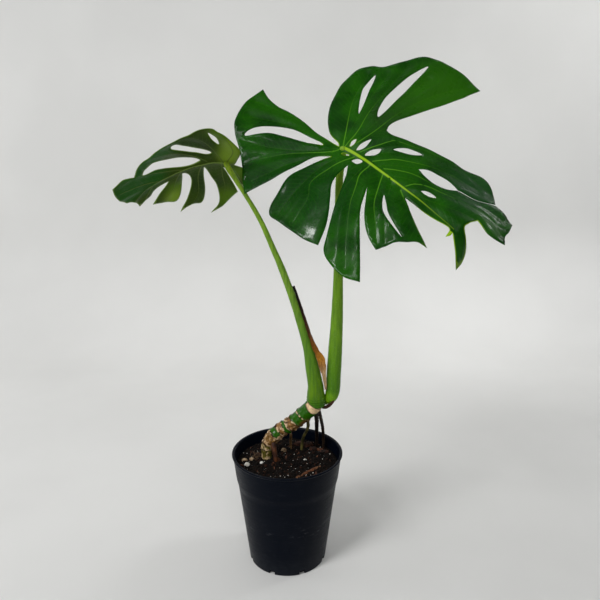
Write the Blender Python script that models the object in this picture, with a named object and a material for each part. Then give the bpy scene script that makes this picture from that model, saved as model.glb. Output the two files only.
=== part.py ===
"""A young monstera in a round nursery pot: one short leaning stem, two cut leaves on
long stalks, air roots that reach the soil, and the loose grains that lie on it.

Units: the named sizes are millimetres; MM turns them into Blender metres. +Z is up,
the origin is the middle of the pot's underside, and the larger leaf leans to +X and
towards -Y. Heights of the plant's own points are measured from the soil's level.
"""

import math

import bmesh
import bpy
from mathutils import Vector, geometry

for old in list(bpy.data.objects):
    bpy.data.objects.remove(old, do_unlink=True)

MM = 0.001
GAP = 0.3                    # clearance between pieces that touch

# Pot
POT_HEIGHT = 156.0
POT_RIM_RADIUS = 75.0
POT_BASE_RADIUS = 53.0
POT_WALL = 1.6
POT_FLOOR = 3.0
POT_COLLAR_DEPTH = 37.0      # the wider band below the rim
POT_COLLAR_STEP = 1.2
POT_LIP = 1.2                # how far the rolled edge stands out
POT_LIP_HEIGHT = 3.0
POT_FOOT_ROUND = 1.5
POT_INNER_BEVEL = 0.6
POT_SEGMENTS = 64
NOTCH_COUNT = 8              # drainage notches round the foot
NOTCH_WIDTH = 8.0
NOTCH_HEIGHT = 6.0
DRAIN_RADIUS = 5.0           # holes through the floor
DRAIN_COUNT = 4
DRAIN_RING = 30.0
DRAIN_SIDES = 24

# Soil
SOIL_DROP = 16.0             # from the rim down to the soil at the wall
SOIL_MOUND = 5.0             # how much higher the middle stands
SOIL_BUMP = 0.8
SOIL_RINGS = 9

# Stem, roots and stalks
STEM_SCALE = 1.0             # thickness of the stem against its listed radii
STALK_SCALE = 1.0            # thickness of both stalks against their listed radii
TUBE_SIDES = 20
ROOT_SIDES = 10
ROOT_DEPTH = 9.0             # how deep a root's end is set in the soil
STEM_STEP = 9.0              # spacing of rings along the stem
ROOT_STEP = 7.0
STRIP_THICK = 1.4            # thickness of the dry strips

# Leaves
BLADE = 1.0                  # blade thickness
RIB = 1.6                    # how much the midrib stands out below the blade
RIB_HALF = 4.0               # half of the midrib's width
FOLD = 4.0                   # how high the blade climbs either side of the midrib
FOLD_REACH = 20.0
CURL_RATE = 0.06             # how fast the hanging tip turns down past its crease
CURL_SIDE = 22.0             # q at which the curl has faded out
CURL_FADE = 10.0
LEAF_SIZE = 1.0              # both leaves' outlines against their listed points
EDGE_STEP = 8.0              # spacing of points along a margin
GRID_STEP = 12.0             # spacing of points inside a blade
EDGE_CLEAR = 2.0             # least distance from a midrib point to the margin
EDGE_SHARE = 0.4             # the same for grid points, against their spacing
RIB_SHARE = 0.5              # least distance from a grid point to the midrib's points

SOIL_LEVEL = POT_HEIGHT - SOIL_DROP
PLANT = Vector((0.0, 0.0, SOIL_LEVEL))


# ---------------------------------------------------------------- materials and meshes

def material(name, colour, roughness, metallic=0.0):
    mat = bpy.data.materials.new(name)
    mat.use_nodes = True
    shader = mat.node_tree.nodes["Principled BSDF"]
    shader.inputs["Base Color"].default_value = (*colour, 1.0)
    shader.inputs["Roughness"].default_value = roughness
    shader.inputs["Metallic"].default_value = metallic
    mat.diffuse_color = (*colour, 1.0)
    return mat


POT_PLASTIC = material("pot_plastic", (0.008, 0.011, 0.016), 0.38)
SOIL_MIX = material("soil_mix", (0.020, 0.014, 0.010), 0.95)
STEM_SKIN = material("stem_skin", (0.34, 0.24, 0.11), 0.65)
STALK_GREEN = material("stalk_green", (0.10, 0.24, 0.05), 0.45)
LEAF_DARK = material("leaf_dark", (0.015, 0.085, 0.016), 0.30)
LEAF_LIGHT = material("leaf_light", (0.075, 0.16, 0.045), 0.45)
SHEATH_DRY = material("sheath_dry", (0.20, 0.08, 0.03), 0.80)
ROOT_BARK = material("root_bark", (0.13, 0.08, 0.04), 0.75)
CHIP_BARK = material("chip_bark", (0.17, 0.06, 0.03), 0.85)
PEBBLE_TAN = material("pebble_tan", (0.35, 0.24, 0.14), 0.80)
PERLITE_WHITE = material("perlite_white", (0.80, 0.78, 0.72), 0.90)


def mesh_object(name, bm, mat, sharp_degrees=35.0):
    """Link a bmesh, built in millimetres, as a smooth-shaded object in metres."""
    bmesh.ops.scale(bm, vec=(MM, MM, MM), verts=bm.verts)
    bmesh.ops.recalc_face_normals(bm, faces=bm.faces)
    mesh = bpy.data.meshes.new(name)
    bm.to_mesh(mesh)
    bm.free()
    mesh.materials.append(mat)
    mesh.shade_smooth()
    mesh.set_sharp_from_angle(angle=math.radians(sharp_degrees))
    obj = bpy.data.objects.new(name, mesh)
    bpy.context.scene.collection.objects.link(obj)
    return obj


def as_cutter(obj):
    obj.hide_render = True
    obj.display_type = 'WIRE'
    return obj


def carve(target, cutters):
    for cutter in cutters:
        cut = target.modifiers.new("cut_" + cutter.name, 'BOOLEAN')
        cut.operation = 'DIFFERENCE'
        cut.solver = 'EXACT'
        cut.object = cutter


# ---------------------------------------------------------------- curves and solids

def smooth_curve(knots, step, closed=False):
    """Points at most `step` apart on a Catmull-Rom curve through the knots."""
    count = len(knots)
    spans = count if closed else count - 1
    points = []
    for i in range(spans):
        if closed:
            a, b, c, d = (knots[(i + k) % count] for k in (-1, 0, 1, 2))
        else:
            b, c = knots[i], knots[i + 1]
            a = knots[i - 1] if i > 0 else b + (b - c)
            d = knots[i + 2] if i + 2 < count else c + (c - b)
        pieces = max(1, math.ceil((c - b).length / step))
        for k in range(pieces):
            t = k / pieces
            points.append(0.5 * (2 * b + (c - a) * t + (2 * a - 5 * b + 4 * c - d) * t ** 2
                                 + (3 * b - 3 * c + d - a) * t ** 3))
    if not closed:
        points.append(knots[-1].copy())
    return points


def turned(name, profile, mat):
    """Spin a closed outline of (radius, height) points about the Z axis."""
    bm = bmesh.new()
    verts = [bm.verts.new((r, 0.0, z)) for r, z in profile]
    edges = [bm.edges.new((verts[i], verts[i + 1])) for i in range(len(verts) - 1)]
    bmesh.ops.spin(bm, geom=verts + edges, cent=(0, 0, 0), axis=(0, 0, 1),
                   angle=2 * math.pi, steps=POT_SEGMENTS)
    bmesh.ops.remove_doubles(bm, verts=bm.verts, dist=1e-3)
    return mesh_object(name, bm, mat)


def tube(name, stations, mat, sides=TUBE_SIDES, step=12.0, grow=0.0, scale=1.0,
         end_normal=None):
    """A closed tube through stations of (x, y, z, radius) above the soil's level."""
    knots = [Vector(s) for s in stations]
    rings = smooth_curve(knots, step)
    bm = bmesh.new()
    side = Vector((1.0, 0.0, 0.0))
    loops = []
    for i, ring in enumerate(rings):
        ahead = rings[min(i + 1, len(rings) - 1)].to_3d()
        behind = rings[max(i - 1, 0)].to_3d()
        along = (ahead - behind).normalized()
        if end_normal is not None and i == len(rings) - 1:
            along = end_normal
        side = (side - side.dot(along) * along).normalized()
        across = along.cross(side)
        radius = ring[3] * scale + grow
        centre = PLANT + ring.to_3d()
        loops.append([bm.verts.new(centre + radius * (math.cos(a) * side + math.sin(a) * across))
                      for a in (2 * math.pi * k / sides for k in range(sides))])
    for low, high in zip(loops, loops[1:]):
        for k in range(sides):
            n = (k + 1) % sides
            bm.faces.new((low[k], low[n], high[n], high[k]))
    bm.faces.new(list(reversed(loops[0])))
    bm.faces.new(loops[-1])
    return mesh_object(name, bm, mat, 50.0)


def strip(name, stations, mat, thickness, face, grow=0.0):
    """A closed flat strip through stations of (x, y, z, half width), its broad side
    turned towards `face`, with soft edges."""
    rings = smooth_curve([Vector(s) for s in stations], 8.0)
    section = [(1.0, 0.0), (0.7, 0.5), (0.0, 0.6), (-0.7, 0.5),
               (-1.0, 0.0), (-0.7, -0.5), (0.0, -0.6), (0.7, -0.5)]
    bm = bmesh.new()
    loops = []
    for i, ring in enumerate(rings):
        ahead = rings[min(i + 1, len(rings) - 1)].to_3d()
        behind = rings[max(i - 1, 0)].to_3d()
        along = (ahead - behind).normalized()
        across = along.cross(face).normalized()
        out = across.cross(along)
        centre = PLANT + ring.to_3d()
        loops.append([bm.verts.new(centre + across * u * (ring[3] + grow)
                                   + out * v * (thickness + 2 * grow)) for u, v in section])
    count = len(section)
    for low, high in zip(loops, loops[1:]):
        for k in range(count):
            n = (k + 1) % count
            bm.faces.new((low[k], low[n], high[n], high[k]))
    bm.faces.new(list(reversed(loops[0])))
    bm.faces.new(loops[-1])
    return mesh_object(name, bm, mat, 60.0)


def soil_height(x, y):
    """Height of the soil's surface over its level at the wall."""
    inner = inner_radius(SOIL_LEVEL) - GAP
    fall = min(1.0, math.hypot(x, y) / inner)
    bump = math.sin(0.31 * x + 0.9) * math.cos(0.27 * y - 0.4) * (1.0 - fall ** 4)
    return SOIL_MOUND * (1.0 - fall ** 2) + SOIL_BUMP * bump


def grain(name, x, y, size, sunk, mat, phase, grow=0.0):
    """A rough stone of the given sizes, `sunk` of its height below the soil."""
    bm = bmesh.new()
    bmesh.ops.create_icosphere(bm, subdivisions=2, radius=1.0)
    lift = soil_height(x, y) + size[2] * (0.5 - sunk)
    centre = PLANT + Vector((x, y, lift))
    for vert in bm.verts:
        d = vert.co.normalized()
        rough = 1.0 + 0.10 * math.sin(3.1 * d.x + phase) * math.cos(2.7 * d.y - phase)
        rough += 0.07 * math.sin(4.3 * d.z + 2.0 * phase)
        reach = Vector((d.x * size[0], d.y * size[1], d.z * size[2])) * 0.5 * rough
        vert.co = centre + reach + d * grow
    return mesh_object(name, bm, mat, 40.0)


# ---------------------------------------------------------------- leaf blades

class Blade:
    """A leaf surface: flat coordinates p along the midrib and q across it, bent by a
    droop that grows with the square of the distance from the stalk and, past a crease
    at `curl_start`, a tip that hangs."""

    def __init__(self, origin, along, across, reach, droop, seam, curl_start=None):
        self.origin = Vector(origin)
        self.p_axis = Vector(along).normalized()
        self.q_axis = (Vector(across) - Vector(across).dot(self.p_axis) * self.p_axis).normalized()
        self.normal = self.p_axis.cross(self.q_axis)
        self.reach = reach
        self.droop = droop
        self.seam = seam
        self.curl_start = curl_start

    def rise(self, p, q):
        bearing = math.degrees(math.atan2(q, p))
        if bearing > self.seam:
            bearing -= 360.0
        level = self.droop[-1][1]
        for (a, low), (b, high) in zip(self.droop, self.droop[1:]):
            if bearing <= b:
                t = max(0.0, (bearing - a) / (b - a))
                t = t * t * (3.0 - 2.0 * t)
                level = low + (high - low) * t
                break
        fold = FOLD * (1.0 - math.exp(-abs(q) / FOLD_REACH))
        curl = 0.0
        if self.curl_start is not None and p > self.curl_start:
            t = min(1.0, max(0.0, (CURL_SIDE - q) / CURL_FADE))
            curl = CURL_RATE * (p - self.curl_start) ** 2 * t * t * (3.0 - 2.0 * t)
        return level * (math.hypot(p, q) / self.reach) ** 2 + fold - curl

    def at(self, p, q):
        return (PLANT + self.origin + p * self.p_axis + q * self.q_axis
                + self.rise(p, q) * self.normal)

    def seat(self, radius):
        """The stalk's last station, clear of the midrib below the blade's origin."""
        point = self.origin - (0.5 * BLADE + RIB + GAP + SEAT_SLACK) * self.normal
        return (*point, radius)

    def normal_at(self, p, q):
        d = 0.5
        dp = self.at(p + d, q) - self.at(p - d, q)
        dq = self.at(p, q + d) - self.at(p, q - d)
        return dp.cross(dq).normalized()


def inside(point, loops):
    """Even-odd test against closed loops of 2-D points."""
    hit = False
    for loop in loops:
        for a, b in zip(loop, loop[1:] + loop[:1]):
            if (a.y > point.y) != (b.y > point.y):
                if point.x < a.x + (point.y - a.y) * (b.x - a.x) / (b.y - a.y):
                    hit = not hit
    return hit


def margin_loop(runs):
    """Join smooth runs of knots, whose shared ends are corners, into one loop."""
    loop = []
    for run in runs:
        knots = [LEAF_SIZE * Vector(k) for k in run]
        loop += smooth_curve(knots, EDGE_STEP)[:-1]
    return loop


def slit_loop(knots):
    return smooth_curve([LEAF_SIZE * Vector(k) for k in knots], EDGE_STEP, closed=True)


def leaf(name, blade, margin, slits, rib_line, mat):
    loops = [margin_loop(margin)] + [slit_loop(s) for s in slits]
    edge_points = [p for loop in loops for p in loop]
    edges = []
    start = 0
    for loop in loops:
        count = len(loop)
        edges += [(start + k, start + (k + 1) % count) for k in range(count)]
        start += count

    points = list(edge_points)
    rib = set()
    for k in smooth_curve([LEAF_SIZE * Vector(k) for k in rib_line], GRID_STEP):
        for offset in (-RIB_HALF, 0.0, RIB_HALF):
            spot = k + Vector((0.0, offset))
            if inside(spot, loops) and min((spot - e).length for e in edge_points) > EDGE_CLEAR:
                if offset == 0.0:
                    rib.add(len(points))
                points.append(spot)
    near_rib = points[len(edge_points):]
    low = Vector((min(p.x for p in edge_points), min(p.y for p in edge_points)))
    high = Vector((max(p.x for p in edge_points), max(p.y for p in edge_points)))
    row_height = GRID_STEP * math.sqrt(3.0) / 2.0
    for row in range(int((high.y - low.y) / row_height) + 1):
        for col in range(int((high.x - low.x) / GRID_STEP) + 1):
            spot = low + Vector(((col + 0.5 * (row % 2)) * GRID_STEP, row * row_height))
            if not inside(spot, loops):
                continue
            if min((spot - e).length for e in edge_points) < EDGE_SHARE * GRID_STEP:
                continue
            if min((spot - e).length for e in near_rib) < RIB_SHARE * GRID_STEP:
                continue
            points.append(spot)

    flat, _, faces, origin, _, _ = geometry.delaunay_2d_cdt(points, edges, [], 0, 1e-5)
    is_rib = [any(o in rib for o in source) for source in origin]
    bm = bmesh.new()
    top, bottom = [], []
    for k, spot in enumerate(flat):
        centre = blade.at(spot.x, spot.y)
        up = blade.normal_at(spot.x, spot.y)
        top.append(bm.verts.new(centre + 0.5 * BLADE * up))
        depth = 0.5 * BLADE + (RIB if is_rib[k] else 0.0)
        bottom.append(bm.verts.new(centre - depth * up))
    used = set()
    for face in faces:
        middle = sum((flat[i] for i in face), Vector((0.0, 0.0))) / 3.0
        if not inside(middle, loops):
            continue
        bm.faces.new([top[i] for i in face])
        bm.faces.new([bottom[i] for i in reversed(face)])
        used.update(zip(face, face[1:] + face[:1]))
    for a, b in used:
        if (b, a) not in used:
            bm.faces.new((top[b], top[a], bottom[a], bottom[b]))
    for vert in [v for v in bm.verts if not v.link_faces]:
        bm.verts.remove(vert)
    return mesh_object(name, bm, mat, 50.0)


# ---------------------------------------------------------------- pot and soil

def outer_radius(z):
    """Outer wall below the collar: a straight taper from foot to rim."""
    body_rim = POT_RIM_RADIUS - POT_LIP - POT_COLLAR_STEP
    return POT_BASE_RADIUS + (body_rim - POT_BASE_RADIUS) * z / POT_HEIGHT


def inner_radius(z):
    return outer_radius(z) - POT_WALL


collar_z = POT_HEIGHT - POT_COLLAR_DEPTH
lip_z = POT_HEIGHT - POT_LIP_HEIGHT
pot = turned("pot", [
    (0.0, 0.0),
    (outer_radius(0.0) - POT_FOOT_ROUND, 0.0),
    (outer_radius(0.0) - 0.3 * POT_FOOT_ROUND, 0.3 * POT_FOOT_ROUND),
    (outer_radius(POT_FOOT_ROUND), POT_FOOT_ROUND),
    (outer_radius(collar_z), collar_z),
    (outer_radius(collar_z) + POT_COLLAR_STEP, collar_z + POT_COLLAR_STEP),
    (outer_radius(lip_z) + POT_COLLAR_STEP, lip_z),
    (POT_RIM_RADIUS, lip_z + 0.25 * POT_LIP_HEIGHT),
    (POT_RIM_RADIUS, POT_HEIGHT - 0.25 * POT_LIP_HEIGHT),
    (POT_RIM_RADIUS - 0.5 * POT_LIP, POT_HEIGHT),
    (inner_radius(POT_HEIGHT) + POT_INNER_BEVEL, POT_HEIGHT),
    (inner_radius(POT_HEIGHT), POT_HEIGHT - POT_INNER_BEVEL),
    (inner_radius(POT_FLOOR), POT_FLOOR),
    (0.0, POT_FLOOR),
], POT_PLASTIC)

drains = []
for i in range(NOTCH_COUNT):
    angle = 2 * math.pi * (i + 0.5) / NOTCH_COUNT
    bm = bmesh.new()
    bmesh.ops.create_cube(bm, size=1.0)
    bmesh.ops.scale(bm, vec=(6.0 * POT_WALL, NOTCH_WIDTH, 2 * NOTCH_HEIGHT), verts=bm.verts)
    notch = as_cutter(mesh_object(f"notch_{i + 1}", bm, POT_PLASTIC))
    notch.location = Vector((math.cos(angle), math.sin(angle), 0.0)) * POT_BASE_RADIUS * MM
    notch.rotation_euler.z = angle
    drains.append(notch)
for i in range(DRAIN_COUNT):
    angle = 2 * math.pi * i / DRAIN_COUNT
    bm = bmesh.new()
    bmesh.ops.create_cone(bm, cap_ends=True, segments=DRAIN_SIDES, radius1=DRAIN_RADIUS,
                          radius2=DRAIN_RADIUS, depth=4 * POT_FLOOR)
    hole = as_cutter(mesh_object(f"drain_{i + 1}", bm, POT_PLASTIC))
    hole.location = Vector((math.cos(angle), math.sin(angle), 0.0)) * DRAIN_RING * MM
    drains.append(hole)
carve(pot, drains)

soil_floor = POT_FLOOR + GAP
soil_edge = inner_radius(SOIL_LEVEL) - GAP
soil_profile = [(0.0, soil_floor), (inner_radius(soil_floor) - GAP, soil_floor)]
for ring in range(SOIL_RINGS, -1, -1):
    soil_profile.append((soil_edge * ring / SOIL_RINGS, SOIL_LEVEL))
soil = turned("soil", soil_profile, SOIL_MIX)
for vert in soil.data.vertices:
    if vert.co.z > (SOIL_LEVEL - 1.0) * MM:
        vert.co.z += soil_height(vert.co.x / MM, vert.co.y / MM) * MM

# ---------------------------------------------------------------- stem and stalks

STEM_PATH = [
    (-29, 3, -14, 6.6), (-28.3, 4, 1, 6.9), (-28.2, 5, 12, 7.1), (-27, 7, 22, 8.2),
    (-20.5, 8, 32, 10.0), (-13.5, 9, 39, 9.8), (-5, 10, 44.5, 9.4), (5, 9, 51.5, 10.0),
    (15, 7, 61, 9.6), (23.4, 5, 69.3, 10.2), (31.4, 2, 77.2, 11.0), (37.3, 0, 85.3, 10.8),
]
LEFT_STALK_PATH = [
    (39.6, -1, 83, 11.2), (38.8, -1, 92, 12.1), (38.2, -1.5, 101, 11.5), (37.6, -2, 113, 10.2),
    (33, -2, 139, 8.9), (27.5, -2, 166, 6.8), (17.2, -2, 203, 6.0), (8.8, -1, 228, 5.0),
    (-4.9, 0, 266, 4.3), (-16, 3, 292, 3.7), (-32, 6, 328, 3.1), (-50, 8, 359, 2.7),
    (-64, 10, 381, 3.2), (-70, 12, 390, 3.8),
]
MAIN_STALK_PATH = [
    (52, 3, 88, 5.0), (55.5, 2, 91.5, 7.4), (59.3, 1.5, 97, 8.9), (61.2, 2, 106.5, 9.5),
    (61.8, 2, 125, 9.5), (63, 2, 151, 9.3), (65, 3, 203, 7.7), (66, 6, 253, 6.3),
    (66, 12, 304, 5.4), (66, 17, 354, 4.9), (67, 20, 385, 4.8), (69, 15, 402, 5.0),
]
STALK_TOP_RADIUS = 4.2       # where a stalk meets its blade
SEAT_SLACK = 0.2             # on top of GAP, for the blade's curve over the stalk's end

LEFT_BLADE = Blade((-73, 10, 398), (-0.9995, -0.013, -0.028), (-0.006, -0.80, 0.60), 80.0,
                   [(-180, -4), (-90, -12), (-45, -20), (0, -20), (45, -20), (90, -12),
                    (180, -4)], 179.0)
MAIN_BLADE = Blade((69, 5, 415), (0.64, -0.61, -0.44), (0.58, 0.40, 0.70), 200.0,
                   [(-185, 70), (-150, 70), (-120, 30), (-90, 5), (-45, -15), (0, -25),
                    (30, -65), (60, -45), (90, -10), (175, -10)], 175.0, curl_start=172.0)

LEFT_STALK_PATH.append(LEFT_BLADE.seat(STALK_TOP_RADIUS))
MAIN_STALK_PATH.append(MAIN_BLADE.seat(STALK_TOP_RADIUS))

stem = tube("stem", STEM_PATH, STEM_SKIN, step=STEM_STEP, scale=STEM_SCALE)
stem_room = as_cutter(tube("stem_room", STEM_PATH, STEM_SKIN, step=STEM_STEP, scale=STEM_SCALE,
                           grow=GAP))

petiole_left = tube("petiole_left", LEFT_STALK_PATH, STALK_GREEN, scale=STALK_SCALE,
                    end_normal=LEFT_BLADE.normal)
left_room = as_cutter(tube("petiole_left_room", LEFT_STALK_PATH, STALK_GREEN,
                           scale=STALK_SCALE, grow=GAP, end_normal=LEFT_BLADE.normal))
petiole_main = tube("petiole_main", MAIN_STALK_PATH, STALK_GREEN, scale=STALK_SCALE,
                    end_normal=MAIN_BLADE.normal)
main_room = as_cutter(tube("petiole_main_room", MAIN_STALK_PATH, STALK_GREEN,
                           scale=STALK_SCALE, grow=GAP, end_normal=MAIN_BLADE.normal))
carve(petiole_left, [stem_room])
carve(petiole_main, [stem_room, left_room])

SHEATH_PATH = [
    (51, -5, 107, 1.6), (50, -6, 119, 2.2), (48, -7, 130.5, 3.1), (46.4, -8, 141, 4.9),
    (44.5, -8.5, 150, 5.2), (39, -9, 161, 3.9), (33, -8.5, 174, 2.8), (26.7, -8, 193, 2.2),
    (20.2, -8, 214, 1.9), (13.2, -7, 235, 1.7), (9.0, -6, 247, 1.6),
]
SHEATH_FACE = Vector((0.2, -1.0, 0.0))
dried_sheath = strip("dried_sheath", SHEATH_PATH, SHEATH_DRY, STRIP_THICK,
                     SHEATH_FACE)
carve(dried_sheath, [left_room, main_room])

# ---------------------------------------------------------------- roots and loose pieces

# Stations near the stem, then the radius halfway down, then where the root enters the
# soil as shares of the soil's radius, and its radius there.
ROOTS = {
    "root_thick": ([(-19, 2, 30, 3.7), (-18.3, -3, 22, 3.9)], 3.7, (-0.22, -0.10), 3.3),
    "root_tan": ([(4, 12, 42, 1.9), (4.6, 14, 32, 1.9)], 1.8, (0.06, 0.41), 1.6),
    "root_olive": ([(27, 5, 62, 2.3), (28.2, 8, 47, 2.1)], 2.1, (0.28, 0.33), 1.9),
    "root_dark": ([(35.5, 3, 75, 3.0), (39.6, 8, 62, 3.0)], 2.6, (0.60, 0.60), 2.2),
    "root_bent": ([(42, 1, 78, 2.3), (45.5, 10, 60, 2.3)], 2.2, (0.74, 0.56), 1.9),
}
ROOT_BOW = 0.75              # how far out a root already is when it is halfway down
ROOT_ENTRY = 3.0             # height of a root's last free station over the level
rooms = [stem_room]
for name, (upper, middle_radius, (u, v), foot_radius) in ROOTS.items():
    x, y, z, _ = upper[-1]
    foot = (u * soil_edge, v * soil_edge, ROOT_ENTRY, foot_radius)
    middle = (x + ROOT_BOW * (foot[0] - x), y + ROOT_BOW * (foot[1] - y),
              0.5 * (z + ROOT_ENTRY), middle_radius)
    end = (foot[0], foot[1], ROOT_ENTRY - ROOT_DEPTH, 0.8 * foot_radius)
    buried = upper + [middle, foot, end]
    root = tube(name, buried, ROOT_BARK, ROOT_SIDES, ROOT_STEP)
    rooms.append(as_cutter(tube(name + "_room", buried, ROOT_BARK, ROOT_SIDES, ROOT_STEP, grow=GAP)))
    carve(root, [stem_room])

# Where each lies in shares of the soil's radius, its sizes, and how much of it is sunk.
GRAINS = {
    "pebble_1": (-0.85, -0.01, (9.0, 7.0, 5.5), 0.35, PEBBLE_TAN, 0.4),
    "pebble_2": (-0.71, 0.02, (7.0, 6.0, 5.0), 0.35, PEBBLE_TAN, 1.7),
    "pebble_3": (-0.08, 0.31, (9.0, 8.0, 7.5), 0.30, PEBBLE_TAN, 2.9),
    "perlite_1": (-0.78, -0.20, (8.0, 7.0, 6.0), 0.30, PERLITE_WHITE, 0.9),
    "perlite_2": (-0.50, -0.16, (6.0, 5.5, 4.5), 0.35, PERLITE_WHITE, 2.2),
    "perlite_3": (0.35, -0.07, (5.0, 4.5, 4.0), 0.35, PERLITE_WHITE, 3.6),
    "bark_chip": (0.66, 0.40, (11.0, 7.0, 5.0), 0.30, CHIP_BARK, 5.1),
}
for name, (u, v, size, sunk, mat, phase) in GRAINS.items():
    x, y = u * soil_edge, v * soil_edge
    grain(name, x, y, size, sunk, mat, phase)
    rooms.append(as_cutter(grain(name + "_room", x, y, size, sunk, mat, phase, GAP)))

HUSK_LIFT = 0.9
HUSK_FACE = Vector((0.0, 0.0, 1.0))
HUSK_LINE = [(0.18, -0.70, 1.4), (0.35, -0.54, 2.6), (0.52, -0.38, 2.8), (0.65, -0.28, 1.2)]
husk_path = []
for u, v, half in HUSK_LINE:
    x, y = u * soil_edge, v * soil_edge
    husk_path.append((x, y, soil_height(x, y) + HUSK_LIFT, half))
husk_strip = strip("husk_strip", husk_path, CHIP_BARK, STRIP_THICK, HUSK_FACE)
rooms.append(as_cutter(strip("husk_room", husk_path, CHIP_BARK, STRIP_THICK, HUSK_FACE, GAP)))
carve(soil, rooms)

# ---------------------------------------------------------------- the two leaves

# Each margin is a ring of smooth runs that meet at corners: lobe tips, the ends of the
# cuts between lobes, and the notch over the stalk. Millimetres, p along the midrib.
MAIN_MARGIN = [
    [(-7, 0), (-12, 3), (-32, 8), (-56, 30), (-73, 67), (-77, 98), (-66, 116), (-50, 124),
     (-38, 146), (-22, 164), (-6, 170), (30, 175), (60, 175)],
    [(60, 175), (51, 141), (32, 90), (22, 62), (24, 52)],
    [(24, 52), (34, 50), (57, 58), (100, 72), (120, 77), (142, 84), (161, 79), (173, 67)],
    [(173, 67), (187, 65), (204, 59)],
    [(204, 59), (210, 46), (212, 38), (220, 27)],
    [(220, 27), (209, 24), (196, 24), (180, 31)],
    [(180, 31), (178, 20), (177, 12), (185, 5), (190, -2), (193, -12), (194, -23)],
    [(194, -23), (186, -15), (179, -9), (173, -3)],
    [(173, -3), (174, -7), (172, -13)],
    [(172, -13), (167, -1), (150, -3), (128, -5), (106, -4)],
    [(106, -4), (124, -14), (142, -23), (167, -35)],
    [(167, -35), (155, -37), (147, -46), (137, -57), (129, -75)],
    [(129, -75), (112, -69), (98, -60), (84, -46), (66, -24)],
    [(66, -24), (80, -48), (98, -68), (117, -87), (143, -114)],
    [(143, -114), (126, -121), (108, -121), (87, -115), (74, -98), (58, -72), (43, -44),
     (33, -26), (25, -15)],
    [(25, -15), (25, -30), (31, -47), (42, -60), (54, -74), (66, -92), (76, -113)],
    [(76, -113), (58, -119), (38, -121), (18, -123), (3, -123), (-8, -107), (-18, -72),
     (-12, -44), (-1, -18)],
    [(-1, -18), (-17, -32), (-24, -58), (-32, -92), (-39, -125)],
    [(-39, -125), (-56, -113), (-72, -100), (-90, -87), (-106, -77), (-119, -64), (-130, -38),
     (-131, -8)],
    [(-131, -8), (-118, -11), (-104, -10), (-88, -5), (-66, -2), (-36, -2), (-7, 0)],
]
MAIN_SLITS = [
    [(-96, -70), (-96, -54), (-80, -30), (-54, -16), (-22, -12), (-49, -28), (-78, -44)],
    [(-50, 108), (-47, 84), (-22, 50), (-35, 80)],
    [(-4, 155), (-12, 128), (-10, 84), (3, 59), (3, 92), (0, 130)],
    [(50, 36), (66, 44), (78, 54), (62, 49)],
    [(89, 36), (98, 43), (109, 44), (122, 47), (138, 45), (129, 38), (116, 33), (101, 34)],
    [(114, 13), (124, 14), (131, 19), (121, 18)],
    [(86, -17), (96, -24), (110, -34), (139, -45), (107, -37), (94, -28)],
    [(6, 7), (8, 13), (5, 19), (3, 14)],
    [(16, 8), (22, 17), (21, 29), (15, 18)],
    [(29, 9), (39, 17), (39, 27), (31, 19)],
    [(5, -6), (10, -5), (14, -2), (8, -3)],
    [(23, -7), (31, -6), (33, 1), (25, 0)],
]
MAIN_RIB = [(4, 2), (25, 4), (60, 4), (100, 4), (130, 4), (160, 4)]

LEFT_MARGIN = [
    [(-9, -5), (-13, 2), (-19, 20), (-9, 46), (2, 64), (10, 71), (30, 70), (60, 59), (78, 50),
     (94, 39), (105, 24)],
    [(105, 24), (109, 26), (117, 28), (128, 23)],
    [(128, 23), (129, 10), (126, -3), (122, -14)],
    [(122, -14), (117, -16), (113, -24), (111, -33)],
    [(111, -33), (104, -27), (97, -25), (90, -17), (73, -13)],
    [(73, -13), (79, -21), (87, -29), (97, -42)],
    [(97, -42), (85, -45), (71, -52), (63, -42), (57, -20), (55, -6)],
    [(55, -6), (48, -14), (48, -29), (56, -50), (68, -70)],
    [(68, -70), (53, -64), (40, -67), (33, -50), (31, -23), (28, -4)],
    [(28, -4), (23, -22), (18, -42), (17, -64), (21, -77), (31, -88)],
    [(31, -88), (18, -83), (4, -71), (-8, -60)],
    [(-8, -60), (-4, -42), (1, -24), (5, -9)],
    [(5, -9), (-4, -20), (-9, -36), (-15, -53)],
    [(-15, -53), (-20, -38), (-20, -18), (-14, -10), (-9, -5)],
]
LEFT_SLITS = [
    [(5, 34), (11, 47), (13, 62), (6, 50)],
    [(17, 22), (22, 18), (38, 28), (56, 45), (48, 56), (34, 41), (22, 28)],
    [(31, 10), (42, 6), (56, 8), (80, 18), (96, 21), (83, 32), (62, 25), (44, 19), (36, 16)],
]
LEFT_RIB = [(3, 1), (17, 4), (32, 3), (48, 2), (67, 0), (92, -4), (105, -10)]

leaf("leaf_main", MAIN_BLADE, MAIN_MARGIN, MAIN_SLITS, MAIN_RIB, LEAF_DARK)
leaf("leaf_left", LEFT_BLADE, LEFT_MARGIN, LEFT_SLITS, LEFT_RIB, LEAF_LIGHT)
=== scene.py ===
"""Looks for a potted monstera: two cut leaves on long stalks, a ringed leaning stem with
air roots, crumbly soil and a satin nursery pot.

Sizes are millimetres unless a name says otherwise; MM turns them into metres. Places
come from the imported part's boxes, so the plant stands where the part's solids stand.
"""
import math
import random

import bmesh
import bpy
import numpy as np
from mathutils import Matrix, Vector, bvhtree, geometry, noise


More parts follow.
